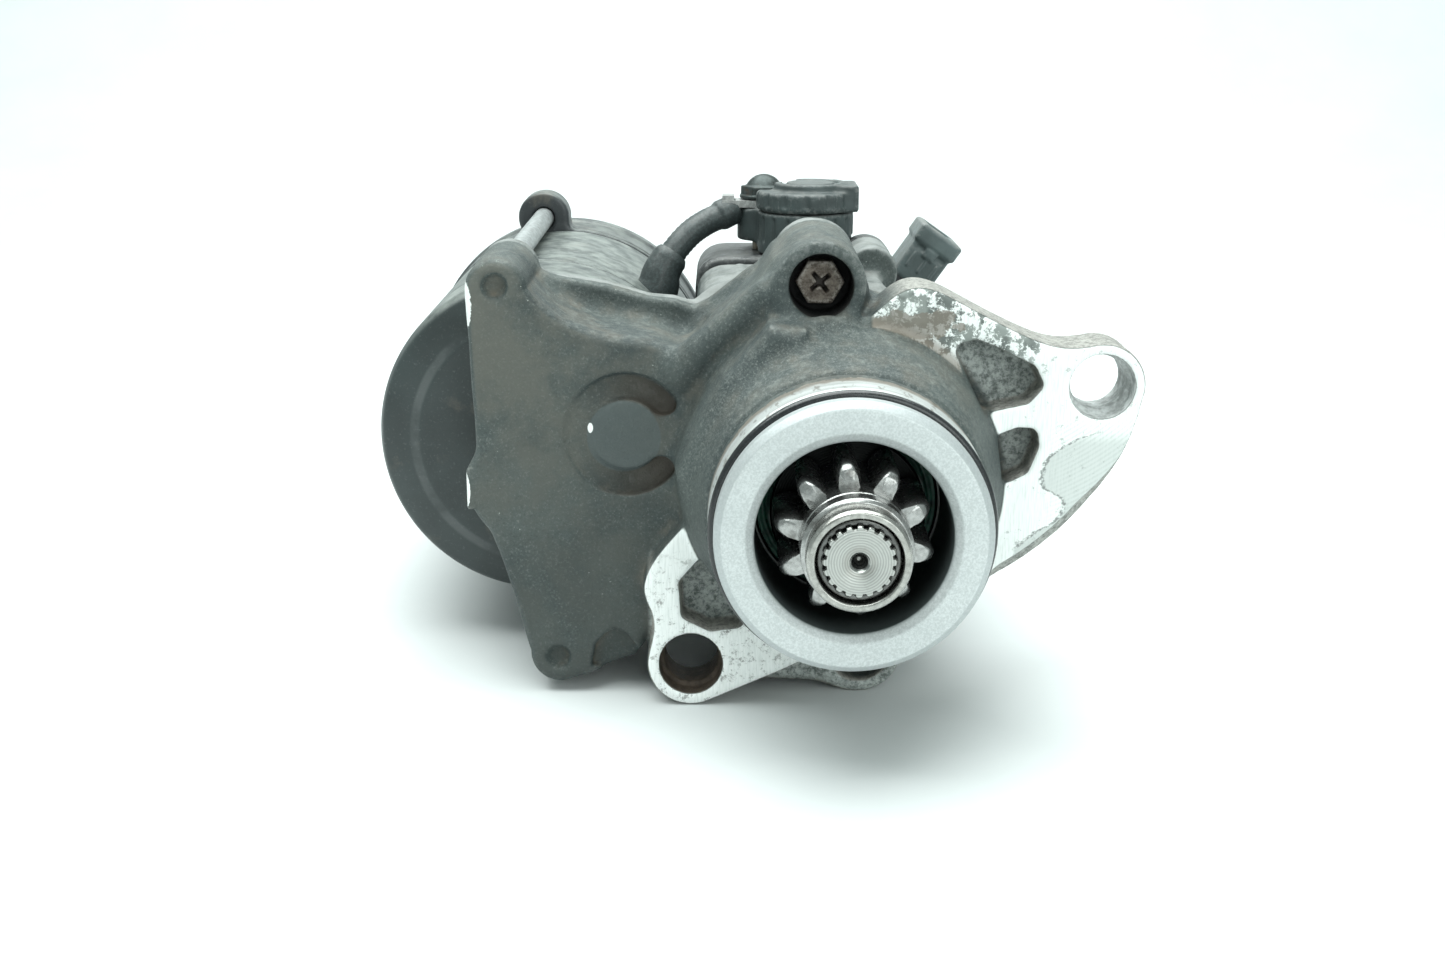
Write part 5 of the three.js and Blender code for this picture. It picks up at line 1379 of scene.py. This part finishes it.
def make_front_bearing():
    # The races' very dark steel colour is painted shade deep in the bore.
    race = steel("race_steel", (0.10, 0.105, 0.10), 0.35, 0.6)
    outer = rounded([(19.6, -14.7), (21, -14.7), (21, -5.7), (17.6, -5.7), (17.6, -13), (19.6, -13)], 0.35)
    inner = rounded([(12.5, -14.7), (13.5, -14.7), (13.5, -13), (15, -13), (15, -5.7), (12.5, -5.7)], 0.3)
    seal = rounded([(13.8, -14.3), (15.2, -14.5), (15.6, -13.9), (17.2, -13.9), (17.6, -14.5),
                    (19.3, -14.4), (19.3, -13.3), (13.8, -13.3)], 0.25)
    for part, profile, body, slot, look in (
            ("outer_race", outer, "root", "steel", race),
            ("inner_race", inner, "clutch_inner", "steel", race),
            ("seal_ring", seal, "root", "seal_rubber", bearing_seal())):
        piece = revolve(f"front_bearing_{part}", PINION, profile, 160)
        finish_piece(piece, body, slot, look, f"front_bearing_{part.split('_')[0]}")


# ---------------------------------------------------------------- motor body and rear cover


def make_yoke():
    """The drawn steel body of the motor."""
    front, wall = YOKE_FRONT_Y, YOKE_RADIUS
    profile = rounded([
        (14.3, front), (29.6, front), (30.2, front + 0.35), (35.5, front + 0.9), (39.0, front + 2.0),
        (wall, front + 5.2), (wall, 69.6), (wall - 0.4, 69.9), (wall - 0.4, 70.5), (wall, 70.8),
        (wall, YOKE_BACK_Y), (35, YOKE_BACK_Y), (35, 47.6), (14.3, 47.6)], 1.1)
    yoke = revolve("yoke_shell", MOTOR, profile, 240)
    paint = smooth_paint("yoke_paint", (0.022, 0.029, 0.029), 0.80, MOTOR)
    finish_piece(yoke, "root", "yoke_paint", paint, "yoke")


def make_rear_cover():
    low = (MOTOR[0] - 43, REAR_FRONT_Y - 2, FLOOR_Z - 2)
    grid = Grid(low, (MOTOR[0] + 43, REAR_BACK_Y + 2, 53), CASTING_PITCH)
    shell = grid.turned(MOTOR, [
        (0, REAR_FRONT_Y), (REAR_RADIUS, REAR_FRONT_Y), (REAR_RADIUS, 145), (REAR_BEAD, 146),
        (REAR_BEAD, 151), (38.5, 155.5), (34, 158), (0, 158)])
    groove = np.maximum(np.abs(grid.y - 132.0) - 0.5, -grid.disc(MOTOR, 39.8))
    shell = cut(shell, groove, 0.5)
    bead = np.maximum(np.abs(grid.disc(MOTOR, 17.5)) - 1.6, 157.2 - grid.y)
    shell = cut(shell, bead, 0.7)
    for degrees in (30, 150, 270):
        t = math.radians(degrees)
        spot = (MOTOR[0] + 27 * math.cos(t), MOTOR[1] + 27 * math.sin(t))
        shell = cut(shell, grid.rod(spot, 4.2, 156.9, 165, 0.3), 0.5)
        shell = join(shell, grid.rod(spot, 1.9, 150, 157.5, 0.5), 0.4)
    bottom_radius = BOTTOM_BOLT[1] - FLOOR_Z
    for bolt, radius in ((TOP_BOLT, 7.2), (BOTTOM_BOLT, bottom_radius)):
        shell = join(shell, grid.rod(bolt, radius, REAR_FRONT_Y, REAR_EAR_BACK_Y, 1.2), 3.0)
    shell = overlap(shell, REAR_FRONT_Y - grid.y, 0.6)
    hollow = grid.turned(MOTOR, [(0, 120), (38, 120), (38, 151), (34, 154.6), (0, 154.6)])
    hollow = cut(hollow, np.maximum(grid.rod(MOTOR, 14.5, 146.5, 160), -grid.disc(MOTOR, 11.3)), 0.6)
    for bolt in (TOP_BOLT, BOTTOM_BOLT):
        hollow = join(hollow, grid.rod(bolt, BOLT_HOLE, 120, 145))
        hollow = join(hollow, grid.rod(bolt, 6.4, REAR_EAR_BACK_Y, 150, 0.6))
    cover = cast_piece("rear_cover_shell", grid, cut(shell, hollow, 0.4))
    paint = smooth_paint("cover_paint", (0.022, 0.025, 0.027), 0.55, gloss=0.40)
    finish_piece(cover, "root", "yoke_paint", paint, "rear_cover")


# ---------------------------------------------------------------- magnetic switch


def switch_body(grid, radius, left, roof, front, back, edge):
    """The round coil case with its square shoulder on top."""
    shoulder = [(13, 0), (13, roof - 1.5), (11.5, roof), (left + 8, roof),
                *bend((left + 8, roof), (left + 3, roof), (left, roof - 3), (left, roof - 8), 6),
                (left, 15), (left + 6, 0)]
    flat = join(grid.disc(PINION, radius), grid.polygon(shoulder), 3.0)
    return grid.slab(flat, front, back, edge)


def make_switch_housing():
    grid = Grid((-86, SPLIT_Y - 2, -54), (40, SWITCH_BACK_Y + 2, 57), CASTING_PITCH)
    plate = join(grid.polygon(case_outline()), grid.disc(MOTOR_BOSS, MOTOR_BOSS_RADIUS))
    for flat in (grid.disc(PINION, DRUM_RADIUS), grid.polygon(SHOULDER), grid.polygon(RIM_OUTLINE),
                 grid.disc(TOP_LUG, TOP_LUG_RADIUS), grid.polygon(UNDERSIDE),
                 grid.disc(BOTTOM_LUG, BOTTOM_LUG_RADIUS)):
        plate = join(plate, flat, 2.5)
    plate = overlap(plate, CASE_LEFT_X - grid.x)
    solid = grid.slab(plate, SPLIT_Y, PLATE_BACK_Y, 0.8)
    solid = join(solid, switch_body(grid, 31, -33, 38, PLATE_BACK_Y - 1, SWITCH_BACK_Y, 1.0), 3.5)
    for lug in (TOP_LUG, BOTTOM_LUG):
        solid = join(solid, grid.rod(lug, 8, SPLIT_Y, 60, 1.5), 3.0)
    for screw in COVER_SCREWS:
        solid = join(solid, grid.rod(screw, 6.6, 58, SWITCH_BACK_Y, 1.0), 3.0)
    solid = join(solid, grid.box((0, PLATE_BACK_Y - 1, -38), (11, 60, -28), 2.0), 3.0)
    for rib_x in (-22.0, -9.5):
        rib = grid.box((rib_x - 1.2, PLATE_BACK_Y - 1, 30), (rib_x + 1.2, SWITCH_BACK_Y - 4, 38.6), 0.8)
        solid = join(solid, rib, 1.5)
    solid = solid + 0.12 * np.sin(grid.x * 0.33) * np.sin(grid.z * 0.29 + 1) * np.sin(grid.y * 0.35)
    solid = overlap(solid, SPLIT_Y - grid.y, 0.4)
    solid = overlap(solid, grid.y - SWITCH_BACK_Y, 0.4)
    solid = cut(solid, grid.rod(PINION, 28, PLATE_BACK_Y, 90))
    solid = cut(solid, grid.rod(PINION, 4.6, 30, 50))
    solid = cut(solid, grid.rod(MOTOR, 14.3, 30, 50))
    solid = cut(solid, grid.rod(IDLER, 4.3, 30, 41.3))
    for axis, radius, front, back in (
            (TOP_BOLT, BOLT_HOLE, 30, 50), (BOTTOM_BOLT, BOLT_HOLE, 30, 50),
            (TOP_LUG, SCREW_HOLE, 30, 57), (BOTTOM_LUG, SCREW_HOLE, 30, 57),
            *((screw, COVER_SCREW_HOLE, 60, 90) for screw in COVER_SCREWS)):
        solid = cut(solid, grid.rod(axis, radius, front, back))
    housing = cast_piece("switch_housing_casting", grid, solid)
    finish_piece(housing, "root", "cast_paint", dusty_cast(), "switch_housing")


def make_switch_cover():
    grid = Grid((-36, COVER_FRONT_Y - 2, -35), (36, COVER_BACK_Y + 2, 47), FINE_PITCH * 1.25)
    solid = switch_body(grid, 31.5, -33.5, 39.5, COVER_FRONT_Y, COVER_BACK_Y - 1.5, 1.6)
    raised = switch_body(grid, 29, -31, 37.5, COVER_BACK_Y - 4, COVER_BACK_Y, 1.0)
    solid = join(solid, raised, 1.0)
    neck = grid.slab(grid.polygon([(8, 20), (18, 37.2), (28.0, 31.2), (26, 10)]), 80, 97, 0.8)
    solid = join(solid, neck, 3.0)
    lip = np.abs(switch_body(grid, 31.5, -33.5, 39.5, COVER_FRONT_Y + 2.4, COVER_FRONT_Y + 3.2, 0.1))
    solid = cut(solid, lip - 0.25, 0.2)
    for screw in COVER_SCREWS:
        solid = join(solid, grid.rod(screw, 6.6, COVER_FRONT_Y, 84, 0.8), 2.0)
        solid = cut(solid, grid.rod(screw, COVER_SCREW_HOLE, 70, 90))
    solid = cut(solid, grid.rod(COVER_SCREWS[0], 5.2, 84, 115), 0.5)
    solid = cut(solid, switch_body(grid, 28.5, -30, 36, 70, COVER_BACK_Y - 3.5, 0.5))
    solid = overlap(solid, COVER_FRONT_Y - grid.y, 0.3)
    cover = cast_piece("switch_cover_moulding", grid, solid)
    black = plastic("cover_plastic", (0.016, 0.018, 0.019), 0.45, 0.40)
    finish_piece(cover, "root", "black_plastic", black, "switch_cover")


# ---------------------------------------------------------------- terminals, cap and lead


def make_terminal_block():
    grid = Grid((-25, 72, 37), (12, 105, 61), FINE_PITCH)
    block = grid.post(BLOCK_CENTRE, 12.4, 39.8, 50.6, 0.5)
    block = join(block, grid.post(MOTOR_STUD, 7, 42.2, 50.6, 0.5), 2.5)
    for k in range(18):
        t = k * math.pi / 9 + 0.1
        rib = (BLOCK_CENTRE[0] + 12.3 * math.cos(t), BLOCK_CENTRE[1] + 12.3 * math.sin(t))
        block = cut(block, grid.post(rib, 0.55, 43, 49.4, 0.2), 0.25)
    block = join(block, grid.post(BATTERY_STUD, 8.2, 49, 51.3, 0.3), 0.3)
    for stud, radius in ((BATTERY_STUD, 4.3), (MOTOR_STUD, 3.3)):
        block = cut(block, grid.post(stud, radius, 36, 60))
    block = cut(block, grid.rod(COVER_SCREWS[0], 6.9, 70, 87.6), 0.3)
    dark = plastic("terminal_plastic", (0.030, 0.040, 0.040), 0.50, 0.48)
    piece = cast_piece("terminal_block_moulding", grid, block)
    finish_piece(piece, "root", "black_plastic", dark, "terminal_block")

    cap = grid.post(BLOCK_CENTRE, 12.9, CAP_BOTTOM_Z, CAP_TOP_Z - 2.0, 1.2)
    plateau = (BLOCK_CENTRE[0] + 1.2, BLOCK_CENTRE[1])
    cap = join(cap, grid.post(plateau, 9.4, CAP_BOTTOM_Z, CAP_TOP_Z, 0.8), 1.2)
    for k in range(14):
        t = k * math.pi / 7 + 0.2
        flute = (BLOCK_CENTRE[0] + 13.6 * math.cos(t), BLOCK_CENTRE[1] + 13.6 * math.sin(t))
        cap = cut(cap, grid.post(flute, 1.15, CAP_BOTTOM_Z + 1.3, CAP_TOP_Z + 2, 0.4), 0.4)
    cap = join(cap, grid.box((2.5, 80, CAP_BOTTOM_Z), (8.6, 94, CAP_TOP_Z - 0.3), 0.7), 1.0)
    cap = cut(cap, grid.box((5.2, 83.5, CAP_BOTTOM_Z + 1.5), (11, 90.5, CAP_TOP_Z - 2.2), 0.6), 0.4)
    from_middle = np.hypot(grid.x - BLOCK_CENTRE[0] - 1.2, grid.y - BLOCK_CENTRE[1])
    top_rim = np.maximum(np.abs(from_middle - 6.8) - 0.6, CAP_TOP_Z - 0.6 - grid.z)
    cap = cut(cap, top_rim, 0.4)
    cap = cut(cap, grid.post(BLOCK_CENTRE, 11.2, 40, CAP_TOP_Z - 4.0, 0.6))
    cap = cut(cap, grid.post(BATTERY_STUD, 6.0, 40, CAP_TOP_Z - 1.3, 0.6))
    cap = cut(cap, grid.post(MOTOR_STUD, 8.4, 40, 70), 0.5)
    piece = cast_piece("terminal_cap_moulding", grid, cap)
    finish_piece(piece, "root", "black_plastic", dark, "terminal_cap")


def make_nut():
    """The motor terminal's domed nut, and the stud under it."""
    low, high = (((corner.z - ORIGIN.z) / MM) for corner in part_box("motor_nut"))
    x, y = MOTOR_STUD
    grid = Grid((x - 8, y - 8, low - 2), (x + 8, y + 8, high + 2), SCREW_PITCH * 1.2)
    dx, dy = grid.x - x, grid.y - y
    flat = hexagon(dx, dy, 10.6)
    nut = overlap(flat, np.abs(grid.z - low - 1.6) - 1.6, 0.4)
    dome = np.hypot(np.hypot(dx, dy), (grid.z - low - 1.2) * 1.02) - 5.1
    nut = join(nut, np.maximum(dome, low - grid.z), 0.5)
    nut = join(nut, grid.post(MOTOR_STUD, 6.4, low, low + 0.9, 0.3), 0.3)
    piece = cast_piece("motor_nut_domed", grid, nut)
    finish_piece(piece, "root", "zinc_steel", zinc("nut_zinc", (0.075, 0.088, 0.086), 0.5), "motor_nut")
    bottom = (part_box("motor_terminal")[0].z - ORIGIN.z) / MM
    grid = Grid((x - 5, y - 5, bottom - 1), (x + 5, y + 5, low + 3), SCREW_PITCH * 1.2)
    stud = cast_piece("motor_stud", grid, grid.post(MOTOR_STUD, 3, bottom, low + 2, 0.4))
    finish_piece(stud, "root", "copper", zinc("stud_zinc", (0.42, 0.37, 0.30), 0.4), "motor_terminal")


def lead_point(radius):
    """A place on the line from the motor's axis along which the lead comes in."""
    return (MOTOR[0] + radius * math.cos(LEAD_ANGLE), LEAD_Y, MOTOR[1] + radius * math.sin(LEAD_ANGLE))


def make_lead():
    route = spline_route([
        lead_point(34.8), lead_point(38.6), (-43.2, 84, 31.5), (-42.2, 84.4, 35.2), (-39.0, 86, 40.2),
        (-35.0, 88.5, 44.4), (-31.0, 91, 46.9), (-27.6, 92.8, 48.3), (-24.6, 94, 49.6),
        (-22.8, 94.8, 50.4)])
    share = np.linspace(0, 1, len(route))
    radii = np.interp(share, (0, 0.76, 0.80, 0.97, 1),
                      (3.5, 3.4, 4.0, 3.9, 3.1)) + 0.08 * np.sin(share * 230)
    lead = sweep("motor_lead_sleeve", route, radii, 40)
    black = rubber("lead_rubber", (0.020, 0.027, 0.027), 0.55, 0.45)
    finish_piece(lead, "root", "black_rubber", black, "motor_lead")
    boot = route[3:32]
    along = np.linspace(0, 1, len(boot))
    radii = np.interp(along, (0, 0.10, 0.16, 0.30, 0.62, 0.90, 0.94, 1.0),
                      (4.9, 5.0, 6.6, 5.8, 5.2, 4.7, 4.8, 4.0))
    sleeve = sweep("lead_grommet_boot", boot, radii, 40, bore=3.3)
    finish_piece(sleeve, "root", "black_rubber", black, "lead_grommet")


def make_connector():
    """The signal socket, which points up and outwards; its sizes are local to its tilted base."""
    grid = Grid((14, 77, 27), (39, 98, 52), FINE_PITCH * 0.8)

    def block(x0, y0, z0, x1, y1, z1, edge):
        return grid.box((x0, y0, z0), (x1, y1, z1), edge, (CONNECTOR_BASE, CONNECTOR_TILT))

    body = block(-5.4, 79.6, -3, 5.4, 95.4, 12, 0.9)
    body = join(body, block(-6.2, 79, 7.4, 6.2, 96, 12, 0.8), 0.7)
    body = cut(body, block(-4.4, 78, 5.6, 4.4, 80, 6.9, 0.3), 0.3)
    body = join(body, block(-1.7, 79.0, 4.6, 1.7, 80.5, 7.4, 0.5), 0.5)
    for x in (-3.4, 0.0, 3.4):
        body = join(body, block(x - 0.4, 79.2, 0.4, x + 0.4, 80.5, 4.8, 0.3), 0.3)
    body = cut(body, block(-3.9, 81.5, 2.6, 3.9, 93.5, 14, 0.6), 0.5)
    body = join(body, block(-0.5, 84.5, 2, 0.5, 90.5, 10.5, 0.3))
    piece = cast_piece("signal_connector_shell", grid, body)
    grey = plastic("connector_plastic", (0.055, 0.072, 0.072), 0.85, 0.42)
    finish_piece(piece, "root", "black_plastic", grey, "signal_connector")


# ---------------------------------------------------------------- inner CAD nodes


def ease_edges(node):
    """A small bevel on a CAD node, by a modifier that leaves its mesh as it is."""
    bevel = node.modifiers.new("eased_edges", "BEVEL")
    bevel.width = EDGE_WIDTH * MM
    bevel.segments = 2
    bevel.limit_method = "ANGLE"
    bevel.angle_limit = EDGE_ANGLE
    bevel.harden_normals = False


def dress_inner_nodes():
    gear = steel("gear_steel", (0.42, 0.42, 0.415), 0.26, 0.6, (0.05, 0.038, 0.025))
    wire = wound_copper("winding_copper", MOTOR, 1.1, along_y=True)
    bars = wound_copper("commutator_copper", MOTOR, 23, along_y=False)
    ends = wound_copper("armature_copper", MOTOR, 30, along_y=False)
    stock = plain_copper()
    core = laminated_iron("core_iron", 0.9)
    pole = laminated_iron("pole_iron", 1.6)
    coil = wound_copper("coil_copper", PINION, 0.9, along_y=True)
    holder = zinc("holder_zinc", (0.40, 0.42, 0.42), 0.3)
    carbon = brush_carbon()
    tinned = zinc("tinned_lug", (0.50, 0.50, 0.49), 0.35)
    looks = {
        "steel_ball": gear, "clutch_inner": gear, "clutch_gear": gear, "idler_pin": gear,
        "idler_gear": gear, "armature_shaft": gear, "armature_core": core, "armature_winding_front": ends,
        "armature_winding_rear": ends, "commutator": bars, "armature_front_bearing": gear,
        "armature_rear_bearing": gear, "field_winding": wire, "brush_holder": holder, "switch_coil": coil,
        "plunger": gear, "contact_disc": stock, "battery_terminal": stock,
        "lead_lug": tinned,
    }
    looks.update({f"clutch_roller_{k}": gear for k in range(1, 6)})
    looks.update({f"pole_core_{k}": pole for k in range(1, 5)})
    looks.update({f"brush_{k}": carbon for k in range(1, 5)})
    for name, material in looks.items():
        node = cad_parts[name]
        node.data.materials.clear()
        node.data.materials.append(material)
        if name != "steel_ball":
            ease_edges(node)


# ---------------------------------------------------------------- floor and light


def paper_white():
    """Matt white paper, very slightly cool and uneven."""
    look = Look("paper_white", roughness=0.85)
    cloud = look.noise(0.012, 5, 0.6, seed=111)
    color = look.mix(look.ramp(cloud, 0.3, 0.7), (0.66, 0.68, 0.68), (0.70, 0.715, 0.715))
    return look.finish(color, 0.8, None, look.noise(0.25, 4, 0.6, seed=112), 0.05)


def make_stage():
    """A sweep of white paper that rises behind the part."""
    turn, radius = PAPER_TURN_Y, PAPER_TURN_RADIUS
    profile = [(PAPER_FRONT_Y, 0.0), (turn, 0.0)]
    angles = np.linspace(0.1, math.pi / 2, 14)
    profile += [(turn + radius * math.sin(t), radius * (1 - math.cos(t))) for t in angles]
    profile.append((turn + radius, PAPER_TOP))
    sides = (-PAPER_HALF_WIDTH, PAPER_HALF_WIDTH)
    points = [(x, y, FLOOR_Z - PAPER_GAP + z) for y, z in profile for x in sides]
    faces = [[2 * k, 2 * k + 1, 2 * k + 3, 2 * k + 2] for k in range(len(profile) - 1)]
    sweep_piece = new_piece("paper_sweep", points, faces, smooth_all=True)
    sweep_piece.data.materials.append(paper_white())


def area_light(name, place, size, power):
    """A rectangular lamp at a place, turned towards the part."""
    data = bpy.data.lights.new(name, "AREA")
    data.shape = "RECTANGLE"
    data.size, data.size_y = size
    data.energy = power
    data.color = LAMP_TINT
    light = bpy.data.objects.new(name, data)
    light.location = ORIGIN + Vector(place) * MM
    toward = (Vector(LAMP_TARGET) - Vector(place)).normalized()
    light.rotation_euler = toward.to_track_quat("-Z", "Y").to_euler()
    bpy.context.scene.collection.objects.link(light)


def make_light():
    world = bpy.data.worlds.new("studio")
    world.use_nodes = True
    background = world.node_tree.nodes["Background"]
    background.inputs["Color"].default_value = WORLD_TINT
    background.inputs["Strength"].default_value = WORLD_STRENGTH
    bpy.context.scene.world = world
    area_light("overhead", (-120, 120, 900), (1.3, 1.1), OVERHEAD_WATTS)
    area_light("front_fill", (500, -1000, 450), (1.0, 0.7), FRONT_FILL_WATTS)
    bpy.context.scene.view_settings.view_transform = "Standard"


# ---------------------------------------------------------------- everything

make_drive_housing()
make_fasteners()
make_pinion()
make_shaft()
make_return_spring()
make_front_bearing()
make_yoke()
make_rear_cover()
make_switch_housing()
make_switch_cover()
make_terminal_block()
make_nut()
make_lead()
make_connector()
dress_inner_nodes()
make_stage()
make_light()
